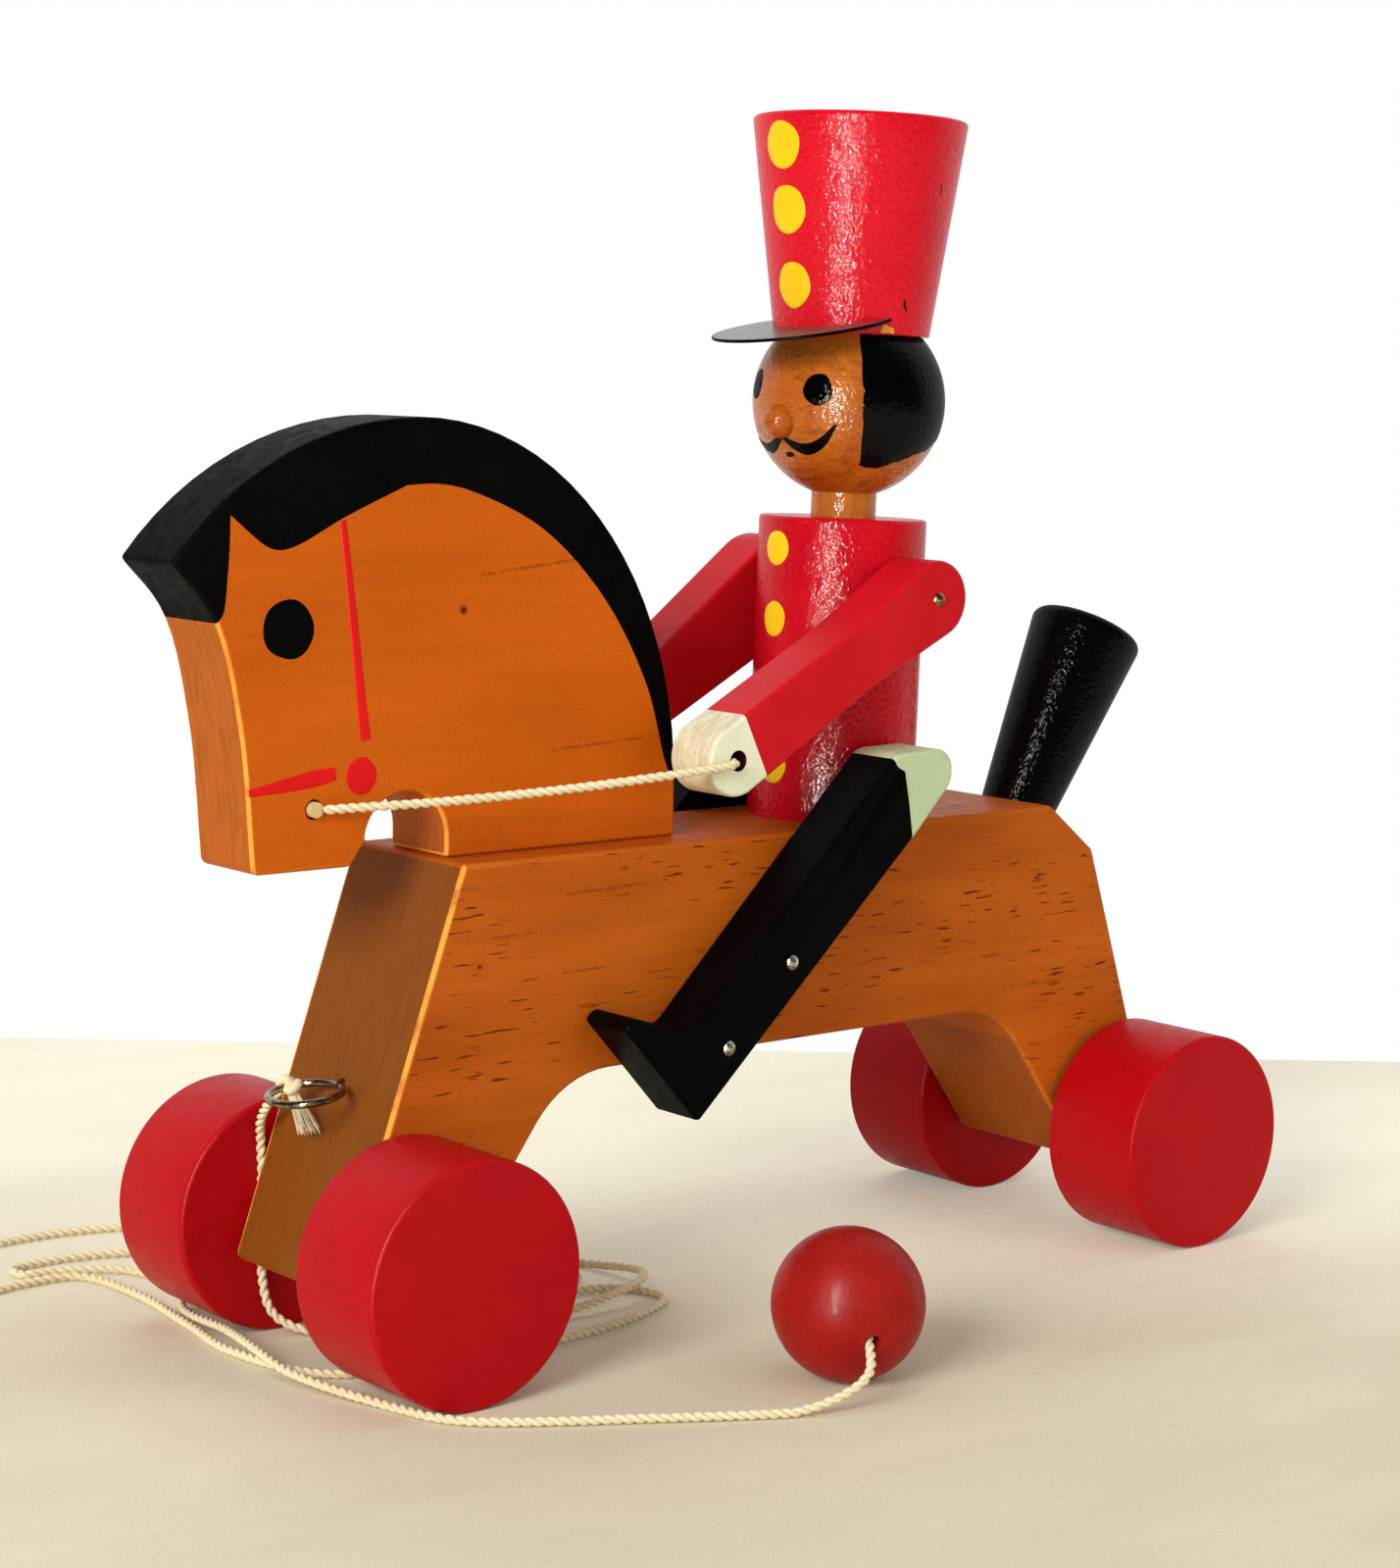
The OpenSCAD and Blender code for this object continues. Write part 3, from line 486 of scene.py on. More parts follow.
def rounded_copy(node, name, material, width=0.0, edge=-1):
    """A copy of a node's mesh with merged points, flat faces in one piece and its sharp edges rounded.

    The rounded edges take the material with the index edge, or their neighbour's where it is -1."""
    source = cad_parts[node].data
    points = np.array([v.co for v in source.vertices], float)
    _, first, back = np.unique(np.round(points, 7), axis=0, return_index=True, return_inverse=True)
    back = back.ravel().tolist()
    faces = [[back[i] for i in p.vertices] for p in source.polygons]
    faces = [f for f in faces if len(set(f)) == len(f)]
    mesh = bpy.data.meshes.new(name)
    mesh.from_pydata(points[first].tolist(), [], faces)
    form = bmesh.new()
    form.from_mesh(mesh)
    bmesh.ops.remove_doubles(form, verts=form.verts, dist=2e-6)
    bmesh.ops.recalc_face_normals(form, faces=form.faces)
    if width:
        bmesh.ops.dissolve_limit(form, angle_limit=math.radians(0.4), verts=form.verts, edges=form.edges)
        limit = math.radians(SHARP)
        narrow = width < WIDE_BEVEL
        sharp = long_edges([e for e in form.edges if e.is_manifold and e.calc_face_angle(0) > limit])
        bmesh.ops.bevel(form, geom=sharp, offset=width * MM, offset_type="OFFSET", segments=3, profile=0.5,
                        affect="EDGES", clamp_overlap=narrow, loop_slide=narrow, material=edge)
        bmesh.ops.recalc_face_normals(form, faces=form.faces)
    form.to_mesh(mesh)
    form.free()
    piece = shown(name, mesh, material, SHARP)
    if width:
        piece.modifiers.new("flat_faces", "WEIGHTED_NORMAL").keep_sharp = True
    return piece


def dressed(node, name, material, slot, body="root", width=0.0, edge=-1):
    """A rounded copy that rides on a body and stands for its node, which it hides. The slot is not used."""
    return placed(rounded_copy(node, name, material, width, edge), body, slot, node)


def prism(outline, y_low, y_high):
    """A closed prism along Y over an outline of x and z, in the toy's millimetres."""
    count = len(outline)
    points = [toy(x, y, z) for y in (y_low, y_high) for x, z in outline]
    faces = [[k, (k + 1) % count, count + (k + 1) % count, count + k] for k in range(count)]
    return points, faces + [list(range(count)), list(range(2 * count - 1, count - 1, -1))]


def painted_over(piece, outline, y_low, y_high):
    """Gives the part of a piece inside a prism its second material, with a clean border."""
    points, faces = prism(outline, y_low, y_high)
    cutter = made("cutter", points, faces, "black")
    cutter.data.materials.append(M["black"])
    cutter.data.polygons.foreach_set("material_index", [1] * len(cutter.data.polygons))
    halves = []
    others = list(piece.modifiers)
    for modifier in others:
        modifier.show_viewport = False
    for operation in ("DIFFERENCE", "INTERSECT"):
        cut = piece.modifiers.new("cut", "BOOLEAN")
        cut.operation = operation
        cut.object = cutter
        cut.solver = "EXACT"
        seen = piece.evaluated_get(bpy.context.evaluated_depsgraph_get())
        halves.append(bpy.data.meshes.new_from_object(seen))
        piece.modifiers.remove(cut)
    form = bmesh.new()
    for mesh, inside in zip(halves, (False, True)):
        before = len(form.faces)
        form.from_mesh(mesh)
        form.faces.ensure_lookup_table()
        fresh = form.faces[before:]
        walls = [face for face in fresh if face.material_index == 1]
        if inside:
            for face in fresh:
                face.material_index = 1
        bmesh.ops.delete(form, geom=walls, context="FACES")
    bmesh.ops.remove_doubles(form, verts=form.verts, dist=2e-7)
    form.to_mesh(piece.data)
    form.free()
    for modifier in others:
        modifier.show_viewport = True
    bpy.data.objects.remove(cutter)
    piece.data.polygons.foreach_set("use_smooth", [True] * len(piece.data.polygons))
    piece.data.set_sharp_from_angle(angle=math.radians(SHARP))


# Cords

def spline(points, t):
    """Place at t along the smooth curve through the points, where t counts points."""
    last = len(points) - 1
    i = min(int(t), last - 1)
    b, c = points[i], points[i + 1]
    a = points[i - 1] if i > 0 else 2 * b - c
    d = points[i + 2] if i < last - 1 else 2 * c - b
    before = -math.sqrt(np.linalg.norm(b - a))
    ahead = math.sqrt(np.linalg.norm(c - b))
    after = ahead + math.sqrt(np.linalg.norm(d - c))
    t = (t - i) * ahead
    ab = (b * (t - before) - a * t) / -before
    bc = (b * (ahead - t) + c * t) / ahead
    cd = (c * (after - t) + d * (t - ahead)) / (after - ahead)
    abc = (ab * (ahead - t) + bc * (t - before)) / (ahead - before)
    bcd = (bc * (after - t) + cd * t) / after
    return (abc * (ahead - t) + bcd * t) / ahead


def run_of(line):
    """How far along the line each of its places is."""
    return np.concatenate([[0], np.cumsum(np.linalg.norm(np.diff(line, axis=0), axis=1))])


def route(points, step, low=None):
    """Evenly spaced places, in metres, along the smooth curve through points in toy millimetres."""
    points = np.array(points, float)
    fine = np.array([spline(points, t) for t in np.linspace(0, len(points) - 1, 40 * len(points))])
    if low is not None:
        fine[:, 2] = np.maximum(fine[:, 2], low)
    run = run_of(fine)
    at = np.linspace(0, run[-1], int(run[-1] / step) + 1)
    even = np.stack([np.interp(at, run, fine[:, k]) for k in range(3)], axis=1)
    return (even + [TOY_SHIFT, 0, 0]) * MM


def line_frames(line):
    """Two unit vectors square to the line at each of its places, turning as little as they can."""
    tangents = np.gradient(line, axis=0)
    tangents /= np.linalg.norm(tangents, axis=1)[:, None]
    side = np.cross(tangents[0], [0.31, 0.17, 0.93])
    sides = []
    for t in tangents:
        side = side - t * (side @ t)
        side /= np.linalg.norm(side)
        sides.append(side)
    sides = np.array(sides)
    return sides, np.cross(tangents, sides)


def ring_faces(count, sides):
    """Faces between rings of points that follow each other, this many along and around."""
    faces = []
    for i in range(count):
        a, b = i * sides, (i + 1) * sides
        faces += [[a + k, a + (k + 1) % sides, b + (k + 1) % sides, b + k] for k in range(sides)]
    return faces


def tube(line, radii, sides=6):
    """Points and faces of a closed tube along a line in metres."""
    line = np.array(line, float)
    first, second = line_frames(line)
    radii = np.broadcast_to(np.array(radii, float), (len(line),))
    angles = np.arange(sides) * 2 * math.pi / sides
    c, s = np.cos(angles)[None, :, None], np.sin(angles)[None, :, None]
    around = c * first[:, None] + s * second[:, None]
    points = (line[:, None] + radii[:, None, None] * around).reshape(-1, 3)
    faces = ring_faces(len(line) - 1, sides)
    top = (len(line) - 1) * sides
    faces += [list(range(sides - 1, -1, -1)), [top + k for k in range(sides)]]
    return points, faces


def joined(parts):
    """Points and faces of several meshes as one."""
    points, faces = [], []
    for p, f in parts:
        faces += [[len(points) + i for i in face] for face in f]
        points += [tuple(x) for x in p]
    return points, faces


def twisted(name, line):
    """A cord of two strands, laid round each other along the line."""
    first, second = line_frames(line)
    turn = run_of(line) / (TWIST_PITCH * MM) * 2 * math.pi
    swing = (CORD_R - STRAND_R) * MM
    strands = []
    for half in (0, math.pi):
        around = np.cos(turn + half)[:, None] * first + np.sin(turn + half)[:, None] * second
        strands.append(tube(line + swing * around, STRAND_R * MM))
    return made(name, *joined(strands), "cotton", 80)


CORD_POINTS = [
    (-108.6, 9, 52.4), (-108.6, 13, 49.2), (-107.6, 17.6, 44.6), (-106.1, 20, 40), (-105.7, 20.2, 34),
    (-105.7, 20.2, 24), (-105.8, 20.2, 14), (-104.4, 17.8, 4.8), (-97, 12, 1),
    (-46, 8.6, 1), (-30, 15, 1), (-37, 28, 1), (-55, 62, 1), (-87, 104, 1),
    (-124, 108, 1), (-152, 95, 1), (-146, 75, 1), (-129, 77.4, 1), (-116, 75.6, 1),
    (-112.8, 58, 1), (-115.4, 32, 1), (-117.8, 12, 1), (-110.4, -12, 1), (-76, -19.6, 1),
    (-43, -17.4, 1), (-25.4, -8.6, 1), (-30, 3, 1), (-50, 4, 1), (-51, -4.8, 1),
    (-29, -3.6, 3.4), (-20.8, 5, 2.8), (-24, 23, 1), (-38, 43, 1.9), (-50, 51, 3.5),
    (-66, 62, 1.6), (-98, 86, 1), (-117, 90, 1), (-124.4, 88.4, 1), (-124.6, 83.4, 1), (-117.6, 81.8, 1),
    (-104.6, 73, 1), (-104.4, 55, 1), (-111, 41, 1), (-113.6, 21, 2.4),
    (-117.2, 5, 3.4), (-118.2, -10, 2.2), (-112.2, -35, 1), (-107, -49, 1), (-76, -70, 1),
    (-52, -83.4, 1.4), (-40, -87.2, 6.6), (-35, -82, 11.9)]
TIE = (-107.8, 6.75, 53.65)
TUFT_FOOT = (2, -4.2, -9)
# The rein lies this far off the middle of the hole in the hand, in x and z
REIN_IN_HOLE = (-0.65, -0.3)


def rein_points(side):
    """The rein's route from the mouth to the hole in the hand, on a side of SIDES."""
    x, z = HAND[side]
    hole_x, hole_z = x + REIN_IN_HOLE[0], z + REIN_IN_HOLE[1]
    out = -ARM_OUT - CORD_R - REIN_CLEAR
    start = np.array([MOUTH[0] + PEG_D / 2 + 0.1, -HEAD_T / 2 - CORD_R - REIN_CLEAR, BODY_TOP + MOUTH[1]])
    front = np.array([x - HAND_R - 3, out + 0.2, z - 1.2])
    points = [start] + [start * (1 - share) + front * share - [0, 0, REIN_SAG] for share in (0.33, 0.67)]
    points += [front, (hole_x - 4.4, out, hole_z - 0.6), (hole_x - 1.1, out + 0.2, hole_z - 0.1)]
    points += [(hole_x, y, hole_z) for y in (-ARM_OUT + 1.9, -ARM_IN - 1, -ARM_IN + REIN_CLEAR)]
    return [(px, -side * py, pz) for px, py, pz in points]


def knot_shape(centre, size, strand, turn=0.0):
    """An overhand knot as a thin closed tube; centre in toy millimetres."""
    steps = 90
    line = []
    for k in range(steps):
        t = 2 * math.pi * k / (steps - 1)
        line.append(((math.sin(t) + 2 * math.sin(2 * t)) / 3, (math.cos(t) - 2 * math.cos(2 * t)) / 3,
                     -math.sin(3 * t) / 2))
    line = np.array(line) * (size / 2 - strand)
    c, s = math.cos(turn), math.sin(turn)
    line = line @ np.array([[c, 0, -s], [0, 1, 0], [s, 0, c]])
    return tube((line + np.array(centre) + [TOY_SHIFT, 0, 0]) * MM, strand * MM, 8)


def make_cords():
    line = route(CORD_POINTS, TWIST_PITCH / 10, CORD_R)
    cord = placed(twisted("pull_cord_strands", line), "root", "cotton_cord", "pull_cord")
    knot = placed(make_ring_knot(), "root", "cotton_cord", "cord_knot")
    ball = dressed("pull_ball", "pull_ball_painted", "pull", "red_wheel_paint", width=BALL_EDGE)
    for side, name in SIDES:
        x, z = HAND[side]
        line = route(rein_points(side), TWIST_PITCH / 10)
        rein = twisted(f"rein_{name}_strands", line)
        hand = f"{name}_arm"
        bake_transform(rein)
        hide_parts(f"rein_{name}")
        tied = knot_shape((x, side * (ARM_IN - 1.2), z), 4.6, 0.75)
        knot = made(f"{name}_rein_knot", *tied, "cotton", 80)
        placed(knot, hand, "cotton_cord", f"{name}_hand_knot")


TUFT_THREADS = 110
# A thread's radii from the knot to its end
THREAD_RADII = np.array([0.2, 0.19, 0.17, 0.13, 0.05])


def make_ring_knot():
    """The cord's knot on the ring, and its frayed end below."""
    parts = [knot_shape(TIE, 5.6, 0.95, 0.4)]
    rng = random.Random(7)
    tie, down = np.array(TIE), np.array(TUFT_FOOT)
    for _ in range(TUFT_THREADS):
        angle, far = rng.uniform(0, 2 * math.pi), math.sqrt(rng.random())
        out = np.array([math.cos(angle), math.sin(angle), 0]) * far
        top = tie + down * 0.1 + out * 0.9
        low = tie + down * rng.uniform(0.78, 1.02) + out * 2.5
        mid = (top + low) / 2 + np.array([rng.uniform(-0.3, 0.3), rng.uniform(-0.3, 0.3), 0])
        line = [(1 - t) ** 2 * top + 2 * t * (1 - t) * mid + t * t * low for t in np.linspace(0, 1, 5)]
        parts.append(tube((np.array(line) + [TOY_SHIFT, 0, 0]) * MM, THREAD_RADII * MM, 4))
    return made("ring_knot_and_tuft", *joined(parts), "cotton", 80)


# Surfaces that paint marks lie on: each settles a point, in millimetres, at a height above itself

class Board:
    """The flat side of a board at y, in the toy's own millimetres."""

    def __init__(self, half, side):
        self.half, self.side = half, side
        self.matrix = Matrix.Translation(toy(0, 0, 0)) @ Matrix.Scale(MM, 4)

    def settle(self, p, height):
        return Vector((p[0], self.side * (self.half + height), p[2]))


class Ball:
    """The rider's head, in the rider's own millimetres."""
    matrix = RIDER

    def at(self, azimuth, elevation):
        a, e = math.radians(azimuth), math.radians(elevation)
        way = Vector((-math.cos(a) * math.cos(e), -math.sin(a) * math.cos(e), math.sin(e)))
        return way * BALL_R + Vector((0, 0, BALL_Z))

    def settle(self, p, height):
        c = Vector((0, 0, BALL_Z))
        return c + (Vector(p) - c).normalized() * (BALL_R + height)


class Cone:
    """A turned piece round the rider's axis, whose radius goes evenly from foot to top."""
    matrix = RIDER

    def __init__(self, z, foot_r, top_r, height):
        self.z, self.foot_r, self.slope = z, foot_r, (top_r - foot_r) / height

    def at(self, azimuth, z):
        a = math.radians(azimuth)
        r = self.foot_r + (z - self.z) * self.slope
        return Vector((-math.cos(a) * r, -math.sin(a) * r, z))

    def settle(self, p, height):
        flat = Vector((p[0], p[1], 0))
        r = self.foot_r + (p[2] - self.z) * self.slope + height
        return flat.normalized() * r + Vector((0, 0, p[2]))


MARK_LIFT = 0.12
MARK_SUNK = -0.25
DOT_SIDES = 40
STROKE_STEPS = 24


def outward(surface, p):
    return (surface.settle(p, 1) - surface.settle(p, 0)).normalized()


def dot(name, surface, centre, width, height, material, lift=MARK_LIFT, wobble=0.03, seed=1):
    """A round mark of paint on a surface, slightly uneven at its rim."""
    rng = random.Random(seed)
    out = outward(surface, centre)
    across = Vector((0, 0, 1)).cross(out).normalized()
    up = out.cross(across)
    waves = [(rng.uniform(0, 6.28), rng.uniform(0.3, 1.0)) for _ in range(4)]
    rim = []
    for k in range(DOT_SIDES):
        t = 2 * math.pi * k / DOT_SIDES
        r = 1 + wobble * sum(w * math.cos((n + 2) * t + p) for n, (p, w) in enumerate(waves)) / 2
        rim.append((math.cos(t) * width / 2 * r, math.sin(t) * height / 2 * r))
    rings = [(0.3, lift), (0.6, lift), (0.85, lift * 0.95), (0.97, lift * 0.6), (1.0, 0.0),
             (1.0, MARK_SUNK)]
    points = [surface.settle(centre, lift)]
    for share, h in rings:
        points += [surface.settle(Vector(centre) + across * x * share + up * y * share, h) for x, y in rim]
    points.append(surface.settle(centre, MARK_SUNK))
    faces = [[0, 1 + k, 1 + (k + 1) % DOT_SIDES] for k in range(DOT_SIDES)]
    faces += [[1 + k for k in face] for face in ring_faces(len(rings) - 1, DOT_SIDES)]
    last = 1 + (len(rings) - 1) * DOT_SIDES
    faces += [[last + (k + 1) % DOT_SIDES, last + k, len(points) - 1] for k in range(DOT_SIDES)]
    return made(name, [surface.matrix @ p for p in points], faces, material, 60)


def stroke(name, surface, line, widths, material, lift=MARK_LIFT):
    """A brush stroke on a surface along a smooth line, whose width changes along it."""
    line = np.array([tuple(p) for p in line], float)
    steps = STROKE_STEPS
    places = [Vector(spline(line, (len(line) - 1) * k / steps)) for k in range(steps + 1)]
    profile = [(-1.0, MARK_SUNK), (-1.0, 0.0), (-0.85, lift * 0.7), (-0.5, lift), (0.0, lift), (0.5, lift),
               (0.85, lift * 0.7), (1.0, 0.0), (1.0, MARK_SUNK)]
    points = []
    for k, p in enumerate(places):
        ahead = places[min(k + 1, steps)] - places[max(k - 1, 0)]
        across = outward(surface, p).cross(ahead).normalized()
        half = np.interp(k / steps * (len(widths) - 1), range(len(widths)), widths) / 2
        points += [surface.settle(p + across * half * s, h) for s, h in profile]
    n = len(profile)
    faces = ring_faces(steps, n) + [list(range(n)), [steps * n + i for i in range(n - 1, -1, -1)]]
    return made(name, [surface.matrix @ p for p in points], faces, material, 60)


# The horse

def smooth_outline(runs, steps=6):
    """Points of an outline made of smooth runs that meet in corners."""
    outline = []
    for run in runs:
        run = np.array(run, float)
        if len(run) > 2:
            last = len(run) - 1
            run = [spline(run, t) for t in np.linspace(0, last, steps * last + 1)]
        outline += [tuple(p) for p in run]
    return [p for i, p in enumerate(outline) if i == 0 or math.dist(p, outline[i - 1]) > 0.02]


# The mane's paint: its border on the board, and then a way round outside the board
MANE_RUNS = [
    [(-160, 147.4), (-136.0, 147.4)],
    [(-135.9, 147.7), (-135.4, 147.0), (-134.3, 145.8), (-133.4, 146.7), (-132.8, 147.6), (-132.3, 150.2),
     (-132.0, 153.4), (-131.6, 157.8), (-131.3, 165.5)],
    [(-131.3, 165.5), (-127.1, 162.1), (-123.5, 159.6), (-120.8, 158.9), (-117.2, 159.6), (-106.4, 164.8),
     (-92.4, 170.6)],
    [(-92.4, 170.6), (-85.7, 170.8), (-78, 169.5), (-60, 161.7), (-44.4, 147.4), (-33.4, 129.6),
     (-27.7, 112.4), (-25.4, 109.4)],
    [(-10, 109.4), (-10, 200), (-160, 200)]]
HORSE_EYE = (-118.8, 0, 144.2)
STRAP_DOT = (-102.5, 0, 115.8)
CHEEK_STRAP = [(-106.9, 0, 164.2), (-104.6, 0, 147), (-102.9, 0, 133), (-101.5, 0, 122.6)]
CHEEK_WIDTHS = [1.4, 1.6, 1.9, 2.1, 2.4]
NOSE_STRAP = [(-127.3, 0, 114.1), (-118.4, 0, 115.2), (-108.3, 0, 116.6)]
NOSE_WIDTHS = [1.4, 2.1, 2.8, 3.3, 2.6]


def make_horse():
    dressed("horse_body", "body_board", ["body", "body_edge"], "varnished_wood", width=BODY_EDGE, edge=1)
    head = rounded_copy("horse_head", "head_board", ["head", "mane", "head_edge"], HEAD_EDGE, edge=2)
    painted_over(head, smooth_outline(MANE_RUNS), -20, 20)
    placed(head, "root", "varnished_wood", "horse_head")
    dressed("tail", "tail_turned", "tail", "black_paint")
    for side, name in SIDES:
        face = Board(HEAD_T / 2, side)
        eye = dot(f"horse_eye_{name}", face, HORSE_EYE, 11.2, 11.2, "black", seed=3)
        straps = [dot(f"bridle_dot_{name}", face, STRAP_DOT, 6.9, 7.2, "strap", seed=4),
                  stroke(f"cheek_strap_{name}", face, CHEEK_STRAP, CHEEK_WIDTHS, "strap"),
                  stroke(f"nose_strap_{name}", face, NOSE_STRAP, NOSE_WIDTHS, "strap")]
        placed(eye, "root", "black_paint")
        for strap in straps:
            placed(strap, "root", "red_wheel_paint")
    dressed("rein_peg", "rein_peg_rounded", "peg", "dowel_wood", width=PEG_EDGE)
    for end in ("front", "rear"):
        for _, name in SIDES:
            node = f"{end}_wheel_{name}"
            dressed(node, f"{node}_painted", "wheel", "red_wheel_paint", f"{end}_wheels")


# The rider

# The glove's paint starts this far from the shoulder, and the knee's paint fills this outline
GLOVE_AT = 56.7
KNEE_RUNS = [[(12.5, 122), (14.8, 112.9), (17.2, 111.4)], [(18.6, 104.9), (20.2, 95)],
             [(45, 95), (45, 122)]]


def arm_outline(side, near, far):
    """A band across the arm, from near to far from the shoulder, as an outline for the glove's paint."""
    droop = math.radians(ARM_DROOP[side])
    spots = [(near - 0.7, 12), (near, 0), (near + 0.7, -12), (far, -12), (far, 12)]
    places = [(along_arm(side, a), b) for a, b in spots]
    return [(x - b * math.sin(droop), z + b * math.cos(droop)) for (x, z), b in places]


def make_arm(side, name):
    arm = rounded_copy(f"{name}_arm", f"{name}_arm_painted", ["arm", "glove", "hole"], LIMB_EDGE)
    painted_over(arm, arm_outline(side, GLOVE_AT, 90), -40, 40)
    # The walls of the hand's hole take the very dark red, painted shade for the inside of the hole
    hole = toy(HAND[side][0], 0, HAND[side][1])
    for face in arm.data.polygons:
        away = Vector((face.center.x - hole.x, 0, face.center.z - hole.z))
        if away.length < (HAND_HOLE_D / 2 + 0.1) * MM and abs(face.normal.y) < 0.5:
            face.material_index = 2
    placed(arm, f"{name}_arm", "red_rider_paint", f"{name}_arm")


def make_visor():
    """The visor, with its rim in black."""
    visor = rounded_copy("hat_visor", "visor_rounded", ["visor", "black"], VISOR_EDGE, edge=1)
    plate = max(visor.data.polygons, key=lambda face: face.area).normal.copy()
    for face in visor.data.polygons:
        if abs(face.normal.dot(plate)) < 0.5:
            face.material_index = 1
    placed(visor, "root", "visor_leather", "hat_visor")


def make_rider():
    dressed("rider_torso", "torso_painted", "jacket", "red_rider_paint")
    dressed("hat", "hat_painted", "coat", "red_rider_paint")
    make_visor()
    dressed("rider_head", "head_ball", "ball_wood", "varnished_wood")
    dressed("neck_dowel", "neck_turned", "neck_wood", "varnished_wood")
    dressed("nose", "nose_bead", "ball_wood", "varnished_wood")
    for side, name in SIDES:
        make_arm(side, name)
        leg = rounded_copy(f"{name}_leg", f"{name}_leg_painted", ["black", "knee"], LIMB_EDGE)
        painted_over(leg, smooth_outline(KNEE_RUNS), -60, 60)
        placed(leg, "root", "black_paint", f"{name}_leg")
    dressed("leg_nails", "leg_nail_heads", "nail", "nail_steel")
    dressed("arm_nails", "arm_nail_heads", "shoulder_nail", "nail_steel")
    make_buttons()
    make_face()
    make_hair()


def make_buttons():
    hat = Cone(HAT_Z, HAT_FOOT_R, HAT_TOP_R, HAT_H)
    torso = Cone(0, TORSO_D / 2, TORSO_D / 2, 60)
    rows = [(hat, 0, 140.9, 10.3, 9.7), (hat, 1.5, 127.7, 10.2, 9.9), (hat, 3, 112.2, 9.5, 9.4),
            (torso, -2, 57.1, 7.3, 7.3), (torso, -2, 42.1, 6.8, 7.6), (torso, 3, 10.8, 7.4, 7.3)]
    for k, (surface, azimuth, z, width, height) in enumerate(rows):
        place = surface.at(azimuth, z)
        button = dot(f"button_{k + 1}", surface, place, width, height, "yellow", seed=10 + k)
        placed(button, "root", "red_rider_paint")
    make_wear(hat)


def make_wear(hat):
    """A chip at the hat's foot, beside the visor, and two scratches."""
    marks = [dot("hat_chip", hat, hat.at(74.5, 103.6), 3.4, 1.6, "raw", lift=0.04, wobble=0.35, seed=41)]
    scratches = ((104, 133.2, -0.5, 2.8, 0.5), (87.5, 108.7, 4, 3.0, 0.8))
    for k, (azimuth, z, lean, tall, wide) in enumerate(scratches):
        ends = (-lean / 2, tall / 2), (-lean / 4, 0), (lean / 2, -tall / 2)
        line = [hat.at(azimuth + turn, z + rise) for turn, rise in ends]
        widths = [0.15, wide, 0.7 * wide, 0.15]
        marks.append(stroke(f"hat_scratch_{k + 1}", hat, line, widths, "hole", lift=0.03))
    for mark in marks:
        placed(mark, "root", "red_rider_paint")


def make_face():
    ball = Ball()
    eyes = [dot("eye_left", ball, ball.at(29.1, 5.9), 6.4, 6.8, "hair", seed=31, wobble=0.05),
            dot("eye_right", ball, ball.at(-25.9, 8.3), 6.2, 6.8, "hair", seed=32, wobble=0.05)]
    left = [ball.at(*p) for p in ((1.7, -22.4), (9, -27.5), (19.8, -30.5), (31, -26), (41.3, -14.1))]
    right = [ball.at(*p) for p in ((1.7, -22.4), (-7, -27.5), (-18, -31), (-30, -29), (-40.1, -24.6))]
    lip = [ball.at(*p) for p in ((0.2, -35), (3.6, -34.6), (7.6, -34.2))]
    marks = [stroke("moustache_left", ball, left, [0.7, 2.0, 2.9, 2.2, 0.5], "hair"),
             stroke("moustache_right", ball, right, [0.7, 2.0, 2.6, 2.0, 0.6], "hair"),
             stroke("lip", ball, lip, [1.0, 1.3, 1.0], "hair")]
    for mark in eyes + marks:
        placed(mark, "root", "black_paint")


# Azimuth of the hair's front edge, and its lower edge as pairs of share around the head and elevation
HAIR_EDGE = 56.5
HAIR_RAG = [(0, -41), (0.03, -42.5), (0.06, -41.5), (0.095, -39.5), (0.13, -36.5), (0.165, -32.5),
            (0.2, -31), (0.253, -27), (0.28, -24.5), (0.313, -22.5), (0.4, -22), (0.5, -22)]
HAIR_TOP = 42.5
HAIR_LIFT = 0.22
HAIR_COLUMNS, HAIR_ROWS = 96, 22


def make_hair():
    """The black hair: a thin skin over the back of the ball, with a ragged lower edge."""
    ball = Ball()
    columns, rows = HAIR_COLUMNS, HAIR_ROWS
    points = {}
    for i in range(columns + 1):
        u = i / columns
        low = float(np.interp(min(u, 1 - u), [p for p, _ in HAIR_RAG], [e for _, e in HAIR_RAG]))
        low += 0.5 * math.sin(71 * u) + 0.35 * math.sin(173 * u + 1)
        for j in range(rows + 1):
            e = low + (HAIR_TOP - low) * j / rows
            edge = HAIR_EDGE - 0.05 * e + 0.25 * math.sin(e * 0.31)
            points[i, j] = ball.at(edge + (360 - 2 * edge) * u, e)
    skins = []
    for height in (HAIR_LIFT, -0.3):
        skins += [ball.settle(points[i, j], height if 0 < i < columns and j > 0 else min(height, 0.05))
                  for i in range(columns + 1) for j in range(rows + 1)]
    wide = rows + 1
    under = (columns + 1) * wide
    faces = []
    for i in range(columns):
        for j in range(rows):
            a = i * wide + j
            quad = [a, a + 1, a + wide + 1, a + wide]
            faces += [quad, [under + k for k in reversed(quad)]]
    rim = [i * wide for i in range(columns + 1)] + [columns * wide + j for j in range(1, rows + 1)]
    rim += [i * wide + rows for i in range(columns - 1, -1, -1)] + list(range(rows - 1, 0, -1))
    faces += [[a, b, under + b, under + a] for a, b in zip(rim, rim[1:] + rim[:1])]
    placed(made("hair_paint", [ball.matrix @ p for p in skins], faces, "hair", 60), "root", "black_paint")


# Small parts and hidden wood

